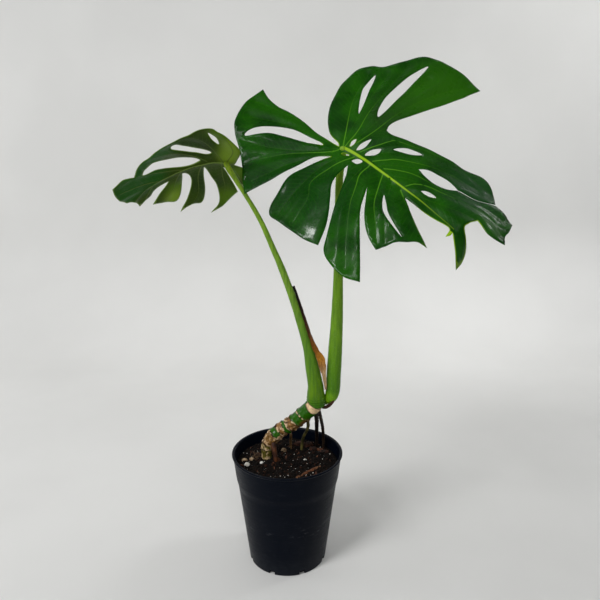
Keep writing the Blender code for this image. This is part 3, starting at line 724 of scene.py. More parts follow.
# Each margin is a ring of smooth runs that meet at corners: lobe tips, the ends of the
# cuts between lobes, and the notch over the stalk. Millimetres, p along the midrib.
MAIN_MARGIN = [
    [(-7, 0), (-12, 3), (-32, 8), (-56, 30), (-73, 67), (-77, 98), (-66, 116), (-50, 124),
     (-38, 146), (-22, 164), (-6, 170), (30, 175), (60, 175)],
    [(60, 175), (51, 141), (32, 90), (22, 62), (24, 52)],
    [(24, 52), (34, 50), (57, 58), (100, 72), (120, 77), (142, 84), (161, 79), (174, 67)],
    [(174, 67), (168, 60.6), (161, 55.4), (150, 50.4), (138, 45.4)],
    [(138, 45.4), (122, 47.5), (109, 44.5), (98, 43), (89, 36)],
    [(89, 36), (101, 33.5), (116, 32.5), (129, 37.5), (138.6, 44.7)],
    [(138.6, 44.7), (150, 49.7), (161, 54.7), (168, 59.8), (175, 65.8)],
    [(175, 65.8), (187, 65), (204, 59)],
    [(204, 59), (210, 46), (212, 38), (220, 27)],
    [(220, 27), (209, 24), (196, 24), (180, 31)],
    [(180, 31), (178, 20), (177, 12), (185, 5), (190, -2), (193, -12), (194, -23)],
    [(194, -23), (186, -15), (179, -9), (173, -3)],
    [(173, -3), (174, -7), (172, -13)],
    [(172, -13), (167, -1), (150, -3), (128, -5), (106, -4)],
    [(106, -4), (124, -14), (142, -23), (167, -35)],
    [(167, -35), (155, -37), (147, -46), (137, -57), (129, -75)],
    [(129, -75), (112, -69), (98, -60), (84, -46), (66, -24)],
    [(66, -24), (80, -48), (98, -68), (117, -87), (143, -114)],
    [(143, -114), (126, -121), (108, -121), (87, -115), (74, -98), (58, -72), (43, -44),
     (33, -26), (25, -15)],
    [(25, -15), (25, -30), (31, -47), (42, -60), (54, -74), (66, -92), (76, -113)],
    [(76, -113), (58, -119), (38, -121), (18, -123), (3, -123), (-8, -107), (-18, -72),
     (-12, -44), (-1, -18)],
    [(-1, -18), (-17, -32), (-24, -58), (-32, -92), (-39, -125)],
    [(-39, -125), (-56, -113), (-72, -100), (-90, -87), (-106, -77), (-119, -64), (-130, -38),
     (-131, -8)],
    [(-131, -8), (-118, -11), (-104, -10), (-88, -5), (-66, -2), (-36, -2), (-7, 0)],
]
MAIN_SLITS = [
    [(-96, -70), (-96, -54), (-80, -30), (-54, -16), (-22, -12), (-49, -28), (-78, -44)],
    [(-50, 108), (-47, 84), (-22, 50), (-35, 80)],
    [(-4, 155), (-12, 128), (-10, 84), (3, 59), (3, 92), (0, 130)],
    [(50, 36), (66, 44), (78, 54), (62, 49)],
    [(114, 13), (124, 14), (131, 19), (121, 18)],
    [(86, -17), (96, -24), (110, -34), (139, -45), (107, -37), (94, -28)],
    [(6, 7), (8, 13), (5, 19), (3, 14)],
    [(16, 8), (22, 17), (21, 29), (15, 18)],
    [(29, 9), (39, 17), (39, 27), (31, 19)],
    [(5, -6), (10, -5), (14, -2), (8, -3)],
    [(23, -7), (31, -6), (33, 1), (25, 0)],
]
MAIN_RIB = [(-2, 0), (4, 2), (25, 4), (60, 4), (100, 4), (130, 4), (171, 2)]
MAIN_VEINS = [
    [(-2, 3), (-16, 22), (-44, 62), (-60, 104)],
    [(1, 3), (-3, 30), (-13, 61), (-20, 101), (-28, 145)],
    [(7, 4), (12, 27), (14, 41), (19, 86), (32, 133), (48, 166)],
    [(21, 9), (33, 31), (39, 42), (48, 49), (110, 72), (160, 76)],
    [(43, 8), (53, 19), (65, 31), (105, 54), (150, 68)],
    [(61, 9), (76, 19), (94, 28), (128, 33), (165, 50), (196, 55)],
    [(95, 5), (104, 19), (127, 29), (180, 45), (210, 36)],
    [(20, 0), (13, -17), (10, -30), (7, -59), (21, -78), (32, -112)],
    [(44, 2), (45, -15), (53, -29), (59, -40), (66, -52), (92, -84), (118, -112)],
    [(65, 2), (73, -12), (86, -33), (104, -50), (124, -68)],
    [(95, 0), (130, -18), (165, -34)],
    [(-2, -2), (-8, -13), (-43, -47), (-66, -80), (-72, -96)],
    [(-4, 0), (-14, -1), (-22, -1), (-62, -3), (-100, -14), (-124, -26)],
]
MAIN_FOLDS = [
    [(-2, 3), (-12, 28), (-26, 70), (-38, 118)],
    [(4, 3), (6, 40), (8, 90), (10, 140)],
    [(12, 5), (18, 42), (36, 100), (52, 152)],
    [(30, 6), (42, 22), (62, 41), (88, 53), (130, 63)],
    [(52, 6), (66, 20), (84, 34)],
    [(74, 6), (92, 17), (120, 25), (160, 40), (204, 45)],
    [(112, 5), (136, 14), (160, 24), (178, 30)],
    [(10, 0), (0, -40), (2, -80), (10, -116)],
    [(34, 2), (32, -26), (44, -50), (60, -76)],
    [(40, -8), (46, -44), (66, -84), (90, -112)],
    [(80, 2), (92, -18), (112, -44), (130, -62)],
    [(0, -3), (-12, -24), (-34, -60), (-48, -106)],
    [(-6, -4), (-30, -30), (-66, -58), (-94, -76)],
    [(-8, -2), (-40, -8), (-80, -22), (-112, -46)],
]

LEFT_MARGIN = [
    [(-9, -5), (-13, 2), (-19, 20), (-9, 46), (2, 64), (10, 71), (30, 70), (60, 59), (78, 50),
     (94, 39), (105, 24)],
    [(105, 24), (109, 26), (117, 28), (128, 23)],
    [(128, 23), (129, 10), (126, -3), (122, -14)],
    [(122, -14), (117, -16), (113, -24), (111, -33)],
    [(111, -33), (104, -27), (97, -25), (90, -17), (73, -13)],
    [(73, -13), (79, -21), (87, -29), (97, -42)],
    [(97, -42), (85, -45), (71, -52), (63, -42), (57, -20), (55, -6)],
    [(55, -6), (48, -14), (48, -29), (56, -50), (68, -70)],
    [(68, -70), (53, -64), (40, -67), (33, -50), (31, -23), (28, -4)],
    [(28, -4), (23, -22), (18, -42), (17, -64), (21, -77), (31, -88)],
    [(31, -88), (18, -83), (4, -71), (-8, -60)],
    [(-8, -60), (-4, -42), (1, -24), (5, -9)],
    [(5, -9), (-4, -20), (-9, -36), (-15, -53)],
    [(-15, -53), (-20, -38), (-20, -18), (-14, -10), (-9, -5)],
]
LEFT_SLITS = [
    [(5, 34), (11, 47), (13, 62), (6, 50)],
    [(16, 20), (24, 21), (40, 31), (57, 46), (50, 54), (36, 42), (24, 30)],
    [(31, 10), (42, 6), (56, 8), (80, 18), (96, 21), (83, 32), (62, 25), (44, 19), (36, 16)],
]
LEFT_RIB = [(-2, 0), (3, 1), (17, 4), (32, 3), (48, 2), (67, 0), (92, -4), (105, -10), (114, -17)]
LEFT_VEINS = [
    [(0, 0), (-10, 20), (-6, 42), (4, 62)],
    [(4, 2), (14, 30), (22, 50), (32, 64)],
    [(20, 4), (40, 24), (62, 40), (80, 44)],
    [(52, 2), (76, 10), (100, 22), (118, 22)],
    [(80, -2), (100, 4), (116, 8), (124, 10)],
    [(0, 0), (-10, -20), (-16, -42)],
    [(6, 0), (8, -25), (8, -52), (20, -76)],
    [(30, 3), (38, -20), (42, -48), (54, -64)],
    [(56, 1), (64, -14), (72, -30), (86, -41)],
    [(90, -4), (98, -16), (106, -28)],
]

LEFT_FOLDS = [
    [(12, 3), (28, 30), (44, 50)],
    [(36, 3), (60, 12), (86, 26)],
    [(66, -1), (92, 6), (118, 16)],
    [(6, 0), (0, -24), (4, -56), (14, -78)],
    [(18, 2), (22, -30), (24, -60)],
    [(44, 2), (46, -30), (56, -58)],
    [(96, -6), (112, -2), (124, 2)],
]

# Tints of painted light and shade, and masks over the blades: flat place, reach in millimetres, colour or
# share.
# Painted light and shade for the small leaf: olive and dark olive where lobes hang in shade, lime and
# moss where light shines through the blade, deep green where light falls on it.
OLIVE_PAINTED_SHADE, DARK_OLIVE_PAINTED_SHADE = (0.034, 0.066, 0.001), (0.018, 0.042, 0.001)
LIME_PAINTED_LIGHT, MOSS_PAINTED_LIGHT, DEEP_GREEN_PAINTED_LIGHT = (0.19, 0.31, 0.020), (0.085, 0.175, 0.003), (0.014, 0.088, 0.006)
# Painted light and shade on the large blade: darker green on the lower lobes, greyer patches as painted
# sheen, brighter green on the lit upper lobe.
MAIN_LIGHT_AND_SHADE = [
    (10, 70, 30, (0.010, 0.045, 0.004)), (150, 60, 34, (0.013, 0.055, 0.014)),
    (50, 130, 60, (0.020, 0.105, 0.002)), (40, -70, 40, (0.003, 0.046, 0.0008)),
    (-20, -90, 36, (0.003, 0.040, 0.0008)),
]
MAIN_WET = [
    (-44, -112, 26, 1.0), (-60, -100, 24, 0.9), (14, -112, 26, 1.0), (44, -100, 28, 0.9),
    (60, -112, 20, 1.0), (-86, -70, 24, 0.5), (196, 44, 22, 0.45), (176, 58, 18, 0.4),
    (64, 64, 18, 0.6), (96, 68, 18, 0.6), (124, 72, 20, 0.5), (118, -60, 22, 0.4),
    (110, -112, 20, 0.4),
]
# Pale rim marks: partly the blade's own paler edge, partly painted highlight where curled edges catch the
# light.
MAIN_PALE_RIM_AND_HIGHLIGHT = [(173, -4, 26, 1.0), (150, -4, 22, 0.8), (180, 24, 14, 0.9), (-7, 0, 22, 0.8)]
# Painted light and shade over the small leaf's lobes.
LEFT_LIGHT_AND_SHADE = [
    (0, 30, 70, OLIVE_PAINTED_SHADE), (60, 20, 60, OLIVE_PAINTED_SHADE), (20, -50, 60, OLIVE_PAINTED_SHADE),
    (40, 45, 24, DARK_OLIVE_PAINTED_SHADE), (26, 34, 20, DARK_OLIVE_PAINTED_SHADE), (40, -30, 22, DARK_OLIVE_PAINTED_SHADE),
    (50, -60, 16, OLIVE_PAINTED_SHADE), (20, -40, 14, DARK_OLIVE_PAINTED_SHADE),
    (72, 54, 20, DEEP_GREEN_PAINTED_LIGHT), (88, 42, 18, DEEP_GREEN_PAINTED_LIGHT), (104, 26, 16, DEEP_GREEN_PAINTED_LIGHT), (112, 8, 24, DEEP_GREEN_PAINTED_LIGHT),
    (86, 8, 16, DEEP_GREEN_PAINTED_LIGHT), (120, -6, 14, DEEP_GREEN_PAINTED_LIGHT),
    (-12, 22, 18, LIME_PAINTED_LIGHT), (-14, 40, 15, LIME_PAINTED_LIGHT), (0, 60, 14, MOSS_PAINTED_LIGHT), (-4, 10, 12, LIME_PAINTED_LIGHT),
    (-14, -20, 14, MOSS_PAINTED_LIGHT), (4, -68, 18, MOSS_PAINTED_LIGHT), (66, -32, 13, MOSS_PAINTED_LIGHT), (72, -44, 12, LIME_PAINTED_LIGHT),
    (108, -26, 12, OLIVE_PAINTED_SHADE),
]
LEFT_WET = [(110, 20, 24, 0.5), (78, 50, 22, 0.7), (100, 34, 20, 0.6)]
# Pale rim all round the small leaf: partly its own edge, partly painted highlight.
LEFT_PALE_RIM_AND_HIGHLIGHT = [(0, 0, 180, 0.9)]

leaf("leaf_main", MAIN_BLADE, MAIN_MARGIN, MAIN_SLITS, MAIN_RIB, MAIN_VEINS, MAIN_FOLDS,
     (LEAF_TOP, LEAF_UNDER), "leaf_dark", 2.4, MAIN_LIGHT_AND_SHADE, MAIN_WET, MAIN_PALE_RIM_AND_HIGHLIGHT)
leaf("leaf_left", LEFT_BLADE, LEFT_MARGIN, LEFT_SLITS, LEFT_RIB, LEFT_VEINS, LEFT_FOLDS,
     (SMALL_TOP, SMALL_UNDER), "leaf_light", 1.6, LEFT_LIGHT_AND_SHADE, LEFT_WET, LEFT_PALE_RIM_AND_HIGHLIGHT)

# ---------------------------------------------------------------- geometry trees

def geo_tree(name, inputs, build):
    """A geometry node group whose result ends in Realize Instances and Set Material."""
    tree = bpy.data.node_groups.new(name, 'GeometryNodeTree')
    tree.interface.new_socket("Geometry", in_out='INPUT', socket_type='NodeSocketGeometry')
    for label, kind, value in inputs:
        socket = tree.interface.new_socket(label, in_out='INPUT', socket_type=kind)
        if value is not None:
            socket.default_value = value
    tree.interface.new_socket("Material", in_out='INPUT', socket_type='NodeSocketMaterial')
    tree.interface.new_socket("Geometry", in_out='OUTPUT', socket_type='NodeSocketGeometry')
    nodes = Nodes(tree)
    entry = nodes.add("NodeGroupInput").outputs
    leave = nodes.add("NodeGroupOutput").inputs
    result = build(nodes, entry)
    real = nodes.add("GeometryNodeRealizeInstances")
    nodes.put(real.inputs["Geometry"], result)
    smooth = nodes.add("GeometryNodeSetShadeSmooth")
    nodes.put(smooth.inputs["Geometry"], real.outputs[0])
    paint = nodes.add("GeometryNodeSetMaterial")
    nodes.put(paint.inputs["Geometry"], smooth.outputs[0])
    nodes.put(paint.inputs["Material"], entry["Material"])
    nodes.put(leave["Geometry"], paint.outputs[0])
    return tree


def input_key(tree, name):
    return next(item.identifier for item in tree.interface.items_tree
                if item.item_type == 'SOCKET' and item.in_out == 'INPUT' and item.name == name)


def grown(name, source, tree, **values):
    """Run a tree on a source object and keep what it makes as a plain mesh."""
    grow = source.modifiers.new("grow", 'NODES')
    grow.node_group = tree
    for label, value in values.items():
        grow[input_key(tree, label.replace("_", " "))] = value
    graph = bpy.context.evaluated_depsgraph_get()
    mesh = bpy.data.meshes.new_from_object(source.evaluated_get(graph))
    mesh.name = name
    bpy.data.objects.remove(source)
    return link(name, mesh)


def build_stalk(n, given):
    """Lines with a `thick` radius become tubes with lumps, and rings near their start."""
    curve = n.add("GeometryNodeMeshToCurve")
    n.put(curve.inputs["Mesh"], given["Geometry"])
    run = n.add("GeometryNodeSplineParameter").outputs["Length"]
    ring = n.add("GeometryNodeCurvePrimitiveCircle")
    n.put(ring.inputs["Resolution"], given["Sides"])
    ring.inputs["Radius"].default_value = 1.0
    tube = n.add("GeometryNodeCurveToMesh")
    n.put(tube.inputs["Curve"],
          n.store(curve.outputs[0], "along_mm", n.math('DIVIDE', run, MM)))
    n.put(tube.inputs["Profile Curve"], ring.outputs[0])
    n.put(tube.inputs["Scale"], n.stored("thick"))
    tube.inputs["Fill Caps"].default_value = True

    far = n.stored("along_mm")
    lumps = n.noise(n.add("GeometryNodeInputPosition").outputs[0], given["Lump Scale"], 3.0)
    lumps = n.math('MULTIPLY', n.math('SUBTRACT', lumps, 0.5), given["Lump Height"])
    wave = n.math('PINGPONG', n.math('DIVIDE', far, given["Ring Gap"]), 0.5)
    rings = n.math('MULTIPLY', n.step(wave, 0.22, 0.42), given["Ring Height"])
    rings = n.math('MULTIPLY', rings, n.step(far, n.math('MULTIPLY', given["Ring Reach"], 0.7),
                                             given["Ring Reach"], 1.0, 0.0))
    return n.pushed(tube.outputs[0], n.math('ADD', lumps, rings))


INT = 'NodeSocketInt'
STALK = geo_tree("stalk", [
    ("Sides", INT, 32), ("Lump Height", FLOAT, 0.0006), ("Lump Scale", FLOAT, 60.0),
    ("Ring Height", FLOAT, 0.0), ("Ring Gap", FLOAT, 3.0), ("Ring Reach", FLOAT, 10.0)],
    build_stalk)


def line_source(lines):
    """One wire mesh of several (x, y, z, radius) lines in millimetres, with `thick`."""
    verts, edges, thick = [], [], []
    for line in lines:
        start = len(verts)
        for x, y, z, radius in line:
            verts.append((x * MM, y * MM, z * MM))
            thick.append(radius * MM)
        edges += [(k, k + 1) for k in range(start, len(verts) - 1)]
    mesh = bpy.data.meshes.new("wire")
    mesh.from_pydata(verts, edges, [])
    mesh.attributes.new("thick", 'FLOAT', 'POINT').data.foreach_set("value", thick)
    return link("wire", mesh)


def over_soil(stations, step):
    """A smooth line through stations whose heights are over the soil's level."""
    return smooth_curve([Vector((x, y, z + SOIL_LEVEL, r)) for x, y, z, r in stations], step)


def dome(tip, inner):
    """Stations that round off a tube beyond its last one, from the tip inwards."""
    out = (tip.xyz - inner.xyz).normalized()
    return [Vector((*(tip.xyz + out * tip.w * math.sqrt(1 - s * s)), tip.w * s)) for s in DOME]


def tapered(stations, step, round_start=True):
    """Smooth stations with domed ends."""
    line = over_soil(stations, step)
    start = dome(line[0], line[1]) if round_start else []
    return [tuple(k) for k in start + line + dome(line[-1], line[-2])[::-1]]


# Draws of their own for a bit's size and shade, how much the small sizes outnumber the
# large, and how deeply a bit is dented against its radius.
SIZE_SEED, SHADE_SEED, SMALL_BIAS, BIT_DENTS = 7, 13, 2.2, 1.6


def build_scatter(n, given):
    """Lumpy bits of one shape, strewn over the source's faces at random sizes and turns."""
    strewn = n.add("GeometryNodeDistributePointsOnFaces", distribute_method='RANDOM')
    n.put(strewn.inputs["Mesh"], given["Geometry"])
    n.put(strewn.inputs["Density"], given["Density"])
    n.put(strewn.inputs["Seed"], given["Seed"])
    bit = n.add("GeometryNodeMeshIcoSphere")
    bit.inputs["Radius"].default_value = 1.0
    n.put(bit.inputs["Subdivisions"], given["Detail"])
    dent = n.noise(n.add("GeometryNodeInputPosition").outputs[0], 1.3, 2.0)
    lumpy = n.pushed(bit.outputs[0],
                     n.math('MULTIPLY', n.math('SUBTRACT', dent, 0.5), BIT_DENTS))
    spin = n.add("FunctionNodeRandomValue", data_type='FLOAT_VECTOR')
    spin.inputs["Max"].default_value = (2 * math.pi,) * 3
    n.put(spin.inputs["Seed"], given["Seed"])
    turn = n.add("FunctionNodeEulerToRotation")
    n.put(turn.inputs[0], spin.outputs[0])
    size = n.add("FunctionNodeRandomValue", data_type='FLOAT')
    n.put(size.inputs[2], 0.0)
    n.put(size.inputs[3], 1.0)
    n.put(size.inputs["Seed"], n.math('ADD', given["Seed"], SIZE_SEED))
    share = n.math('POWER', size.outputs[1], SMALL_BIAS)
    spread = n.math('SUBTRACT', given["Largest"], given["Smallest"])
    scale = n.math('ADD', given["Smallest"], n.math('MULTIPLY', share, spread))
    put = n.add("GeometryNodeInstanceOnPoints")
    n.put(put.inputs["Points"], strewn.outputs["Points"])
    n.put(put.inputs["Instance"], lumpy)
    n.put(put.inputs["Rotation"], turn.outputs[0])
    n.put(put.inputs["Scale"], n.scaled(given["Stretch"], scale))
    shade = n.add("FunctionNodeRandomValue", data_type='FLOAT')
    n.put(shade.inputs["Seed"], n.math('ADD', given["Seed"], SHADE_SEED))
    return n.store(put.outputs[0], "shade", shade.outputs[1], 'INSTANCE')


SCATTER = geo_tree("scatter", [
    ("Density", FLOAT, 1e5), ("Seed", INT, 1), ("Detail", INT, 1), ("Smallest", FLOAT, 0.0004),
    ("Largest", FLOAT, 0.0015), ("Stretch", VECTOR, (1.0, 1.0, 1.0))], build_scatter)

# ---------------------------------------------------------------- pot


def wall_radius(z):
    body_rim = RIM_RADIUS - LIP - COLLAR_STEP
    return FOOT_RADIUS + (body_rim - FOOT_RADIUS) * z / POT_HEIGHT


def inner_radius(z):
    return wall_radius(z) - WALL


def build_notched(n, given):
    """The source with a ring of square notches cut into its foot."""
    ring = n.add("GeometryNodeMeshCircle")
    n.put(ring.inputs["Vertices"], given["Count"])
    n.put(ring.inputs["Radius"], given["Ring Radius"])
    turned = n.add("GeometryNodeTransform")
    n.put(turned.inputs["Geometry"], ring.outputs[0])
    angle = n.math('DIVIDE', math.pi, given["Count"])
    twist = n.add("ShaderNodeCombineXYZ")
    n.put(twist.inputs["Z"], angle)
    n.put(turned.inputs["Rotation"], twist.outputs[0])
    block = n.add("GeometryNodeMeshCube")
    n.put(block.inputs["Size"], given["Notch Size"])
    out = n.add("FunctionNodeAlignRotationToVector", axis='X')
    n.put(out.inputs["Vector"], n.add("GeometryNodeInputPosition").outputs[0])
    put = n.add("GeometryNodeInstanceOnPoints")
    n.put(put.inputs["Points"], turned.outputs[0])
    n.put(put.inputs["Instance"], block.outputs[0])
    n.put(put.inputs["Rotation"], out.outputs[0])
    real = n.add("GeometryNodeRealizeInstances")
    n.put(real.inputs["Geometry"], put.outputs[0])
    cut = n.add("GeometryNodeMeshBoolean", operation='DIFFERENCE', solver='EXACT')
    n.put(cut.inputs["Mesh 1"], given["Geometry"])
    n.put(cut.inputs["Mesh 2"], real.outputs[0])
    return cut.outputs[0]


NOTCHED = geo_tree("notched_foot", [
    ("Count", INT, 8), ("Ring Radius", FLOAT, 0.053), ("Notch Size", VECTOR, (0.01, 0.008, 0.012))],
    build_notched)


def build_dust(n, given, out):
    cloud = n.noise(given["Vector"], given["Cloud Scale"], 5.0, 0.6)
    grit = n.noise(given["Vector"], given["Grit Scale"], 2.0)
    mask = n.math('MULTIPLY', n.step(cloud, 0.46, 0.72), given["Amount"])
    spots = n.math('MULTIPLY', n.step(grit, 0.70, 0.76), given["Grit"])
    n.put(out["Mask"], n.math('MAXIMUM', mask, spots))


DUST = shader_group("dust", [
    ("Vector", VECTOR, None), ("Cloud Scale", FLOAT, 20.0), ("Grit Scale", FLOAT, 600.0),
    ("Amount", FLOAT, 0.2), ("Grit", FLOAT, 0.3)], [("Mask", FLOAT)], build_dust)


SCUFF_HEIGHT = 0.066


def pot_plastic():
    """Near-black moulded plastic: dusty foot, a scuffed band at mid height, drawn grain."""
    mat, n, shader = new_material("pot_plastic", 0.36, specular=0.06)
    place = n.place()
    dust = use_group(n, DUST, Vector=place, Cloud_Scale=24.0, Grit_Scale=700.0, Amount=0.05,
                     Grit=0.35)["Mask"]
    height = n.add("ShaderNodeSeparateXYZ")
    n.put(height.inputs[0], place)
    foot = n.step(height.outputs["Z"], 0.0, 0.035, 0.35, 0.0)
    wear = n.math('ADD', dust, n.math('MULTIPLY', foot, n.noise(place, 130.0, 4.0)))
    band = n.step(n.math('ABSOLUTE', n.math('SUBTRACT', height.outputs["Z"], SCUFF_HEIGHT)),
                  0.004, 0.013, 1.0, 0.0)
    rubs = n.step(n.noise(n.stretched(place, 3.5), 75.0, 5.0, 0.7), 0.54, 0.68)
    scuff = n.math('MULTIPLY', rubs, n.math('ADD', n.math('MULTIPLY', band, 0.55), 0.10))
    wear = n.math('ADD', wear, scuff)
    n.put(shader.inputs["Base Color"],
          n.mix(wear, (0.0009, 0.0026, 0.0072), (0.040, 0.044, 0.050)))
    fine = n.noise(n.stretched(place, 14.0), 45.0, 4.0, 0.6)
    n.put(shader.inputs["Roughness"], n.math('ADD', n.step(fine, 0.3, 0.7, 0.29, 0.44), dust))
    grain = n.math('ADD', n.noise(place, 900.0, 2.0), n.math('MULTIPLY', fine, 0.8))
    n.put(shader.inputs["Normal"], n.bump(grain, 0.25, 0.0006))
    return mat


def lathe(name, profile, sides):
    """A closed turned shape from (radius, height) points that start and end in the middle."""
    bm = bmesh.new()
    stitch(bm, [[bm.verts.new((x, y, z)) for x, y in circle(radius, sides)]
                for radius, z in profile])
    bmesh.ops.recalc_face_normals(bm, faces=bm.faces)
    return piece(name, bm, [])


def arc(centre, radius, start, end, count):
    """Profile points on a quarter turn or so; angles in degrees, 0 pointing outwards."""
    cx, cz = centre
    return [(cx + radius * math.cos(math.radians(start + (end - start) * k / count)),
             cz + radius * math.sin(math.radians(start + (end - start) * k / count)))
            for k in range(count + 1)]


collar_z = POT_HEIGHT - COLLAR_DEPTH
lip_z = POT_HEIGHT - LIP_HEIGHT
pot_profile = [(0.0, 0.0), (20.0, 0.0), (wall_radius(0.0) - 2.0, 0.0)]
pot_profile += arc((wall_radius(FOOT_ROUND) - FOOT_ROUND, FOOT_ROUND), FOOT_ROUND, -75, 0, 4)
pot_profile += [(wall_radius(z), z) for z in (8.0, 30.0, 60.0, 90.0, collar_z - 10.0)]
for share in (0.12, 0.3, 0.5, 0.7, 0.88):
    z = collar_z - COLLAR_LOW + COLLAR_RUN * share
    pot_profile.append((wall_radius(z) + COLLAR_STEP * share * share * (3.0 - 2.0 * share), z))
pot_profile += [(wall_radius(z) + COLLAR_STEP, z) for z in (collar_z + 5.0, lip_z - 1.0, lip_z)]
pot_profile += arc((RIM_RADIUS - LIP_ROUND, POT_HEIGHT - LIP_ROUND), LIP_ROUND, -70, 90, 7)
pot_profile += [(inner_radius(POT_HEIGHT) + 0.7, POT_HEIGHT - 0.25),
                (inner_radius(POT_HEIGHT) + 0.1, POT_HEIGHT - 0.9)]
pot_profile += [(inner_radius(z), z) for z in (POT_HEIGHT - 3.0, 140.0, 100.0, 50.0, FLOOR)]
pot_profile += [(0.0, FLOOR)]
shell = lathe("pot_shell", pot_profile, POT_SIDES)
pot = grown("nursery_pot", shell, NOTCHED, Count=NOTCHES, Ring_Radius=FOOT_RADIUS * MM,
            Notch_Size=(6.0 * WALL * MM, NOTCH_WIDTH * MM, 2 * NOTCH_HEIGHT * MM),
            Material=pot_plastic())
pot.data.set_sharp_from_angle(angle=math.radians(CREASE_ANGLE))
stands_for(pot, "pot_plastic", "pot")

# ---------------------------------------------------------------- soil

SOIL_EDGE = inner_radius(SOIL_LEVEL) - GAP


def soil_height(x, y):
    fall = min(1.0, math.hypot(x, y) / SOIL_EDGE)
    bump = math.sin(0.31 * x + 0.9) * math.cos(0.27 * y - 0.4) * (1.0 - fall ** 4)
    return SOIL_MOUND * (1.0 - fall ** 2) + 0.8 * bump


def crumbly(x, y):
    """Height of the crumbled surface over the wall's level."""
    fall = min(1.0, math.hypot(x, y) / SOIL_EDGE)
    rough = noise.fractal((x * 0.16, y * 0.16, 0.0), 0.8, 2.2, 4)
    return soil_height(x, y) + 1.5 * rough * (1.0 - 0.6 * fall ** 6)


def soil_material(name, dark, warm, specks):
    """Dark crumbly mix; `specks` is how strongly pale grit shows in it."""
    mat, n, shader = new_material(name, 0.92, specular=0.15)
    place = n.place()
    colour = mottled(n, place, dark, warm, 90.0, 900.0, 0.5)
    if specks > 0.0:
        grit = use_group(n, DUST, Vector=place, Cloud_Scale=60.0, Grit_Scale=520.0,
                         Amount=0.0, Grit=specks)["Mask"]
        colour = n.mix(grit, colour, (0.55, 0.50, 0.44))
    shade = n.attribute("shade")
    colour = n.mix(n.step(shade, 0.80, 1.0), colour, (0.034, 0.013, 0.007))
    n.put(shader.inputs["Base Color"], colour)
    roughen(n, shader, place, 600.0, 0.7, 0.002)
    return mat


SOIL_DARK = soil_material("soil_mix", (0.003, 0.0022, 0.002), (0.008, 0.005, 0.0034), 0.4)
CRUMB_DARK = soil_material("soil_crumb", (0.004, 0.0028, 0.0024), (0.011, 0.0065, 0.0045), 0.0)

def soil_ring(bm, radius, sides, lift=0.0):
    return [bm.verts.new((x, y, SOIL_LEVEL + crumbly(x, y) + lift))
            for x, y in circle(radius, sides)]


bm = bmesh.new()
rows = [soil_ring(bm, SOIL_EDGE * ring / SOIL_ROWS, SOIL_SIDES)
        for ring in range(SOIL_ROWS + 1)]
SOIL_FOOT = FLOOR + GAP
for z in (SOIL_LEVEL - 8.0, SOIL_FOOT):
    rows.append([bm.verts.new((x, y, z)) for x, y in circle(inner_radius(z) - GAP, SOIL_SIDES)])
rows.append([bm.verts.new((0.0, 0.0, SOIL_FOOT))])
stitch(bm, rows, downwards=True)
bmesh.ops.recalc_face_normals(bm, faces=bm.faces)
stands_for(piece("soil_bed", bm, [SOIL_DARK]), "soil_mix", "soil")


def soil_patch(inner, outer, lift):
    """An open ring of the soil's surface, only for strewing bits over."""
    bm = bmesh.new()
    rings = [soil_ring(bm, (inner + (outer - inner) * ring / (PATCH_ROWS - 1)) * SOIL_EDGE,
                       PATCH_SIDES, lift) for ring in range(PATCH_ROWS)]
    for low, high in zip(rings, rings[1:]):
        for k in range(PATCH_SIDES):
            j = (k + 1) % PATCH_SIDES
            bm.faces.new((low[k], high[k], high[j], low[j]))
    return piece("patch", bm, [])


def bits_material(name, dark, light, roughness, scale):
    """Stone or bark; strewn bits darken by their own `shade`."""
    mat, n, shader = new_material(name, roughness, specular=0.3)
    place = n.place()
    tint = mottled(n, place, dark, light, scale, 8.0 * scale, 0.35)
    n.put(shader.inputs["Base Color"], n.mix(n.attribute("shade"), tint, dark))
    roughen(n, shader, place, 4.0 * scale, 0.6, 0.0012)
    return mat


PERLITE = bits_material("perlite_white", (0.62, 0.59, 0.52), (0.88, 0.87, 0.83), 0.9, 250.0)
CHIP = bits_material("chip_bark", (0.06, 0.020, 0.010), (0.17, 0.065, 0.030), 0.75, 180.0)
PEBBLE = bits_material("pebble_tan", (0.26, 0.16, 0.085), (0.50, 0.37, 0.24), 0.8, 160.0)

# Name, patch of soil, bits to a square metre, seed, detail, smallest and largest radius in
# metres, stretch, material, slot.
STREWN = [
    ("soil_crumbs", (0.02, 0.975, 0.1), 1.65e5, 3, 2, 0.0005, 0.0026, (1.0, 0.85, 0.7),
     CRUMB_DARK, "soil_mix"),
    ("perlite_specks", (0.03, 0.96, 0.5), 1.0e4, 11, 1, 0.0003, 0.0011, (1.0, 0.9, 0.8),
     PERLITE, "perlite_white"),
    ("bark_bits", (0.03, 0.95, 0.3), 5.0e3, 23, 1, 0.0008, 0.0024, (2.0, 0.8, 0.45),
     CHIP, "chip_bark"),
]
for name, patch, density, seed, detail, smallest, largest, stretch, mat, slot in STREWN:
    stands_for(grown(name, soil_patch(*patch), SCATTER, Density=density, Seed=seed,
                     Detail=detail, Smallest=smallest, Largest=largest, Stretch=stretch,
                     Material=mat), slot)

# ---------------------------------------------------------------- stones and chips


def lump(name, centre, half, mat, slot, rough, seed, facets, *nodes):
    """A lumpy stone inside a box of the given half sizes; `facets` flattens its sides."""
    bm = bmesh.new()
    bmesh.ops.create_icosphere(bm, subdivisions=5, radius=1.0)
    for vert in bm.verts:
        d = vert.co.normalized()
        swell = rough * noise.fractal(d * 1.7 + Vector((seed, 0, 0)), 0.9, 2.1, 4)
        swell -= facets * abs(noise.noise(d * 2.6 + Vector((0, seed, 0))))
        reach = min(1.0, 0.93 + swell)
        vert.co = centre + Vector((d.x * half.x, d.y * half.y, d.z * half.z)) * reach
    return stands_for(piece(name, bm, [mat]), slot, *nodes)


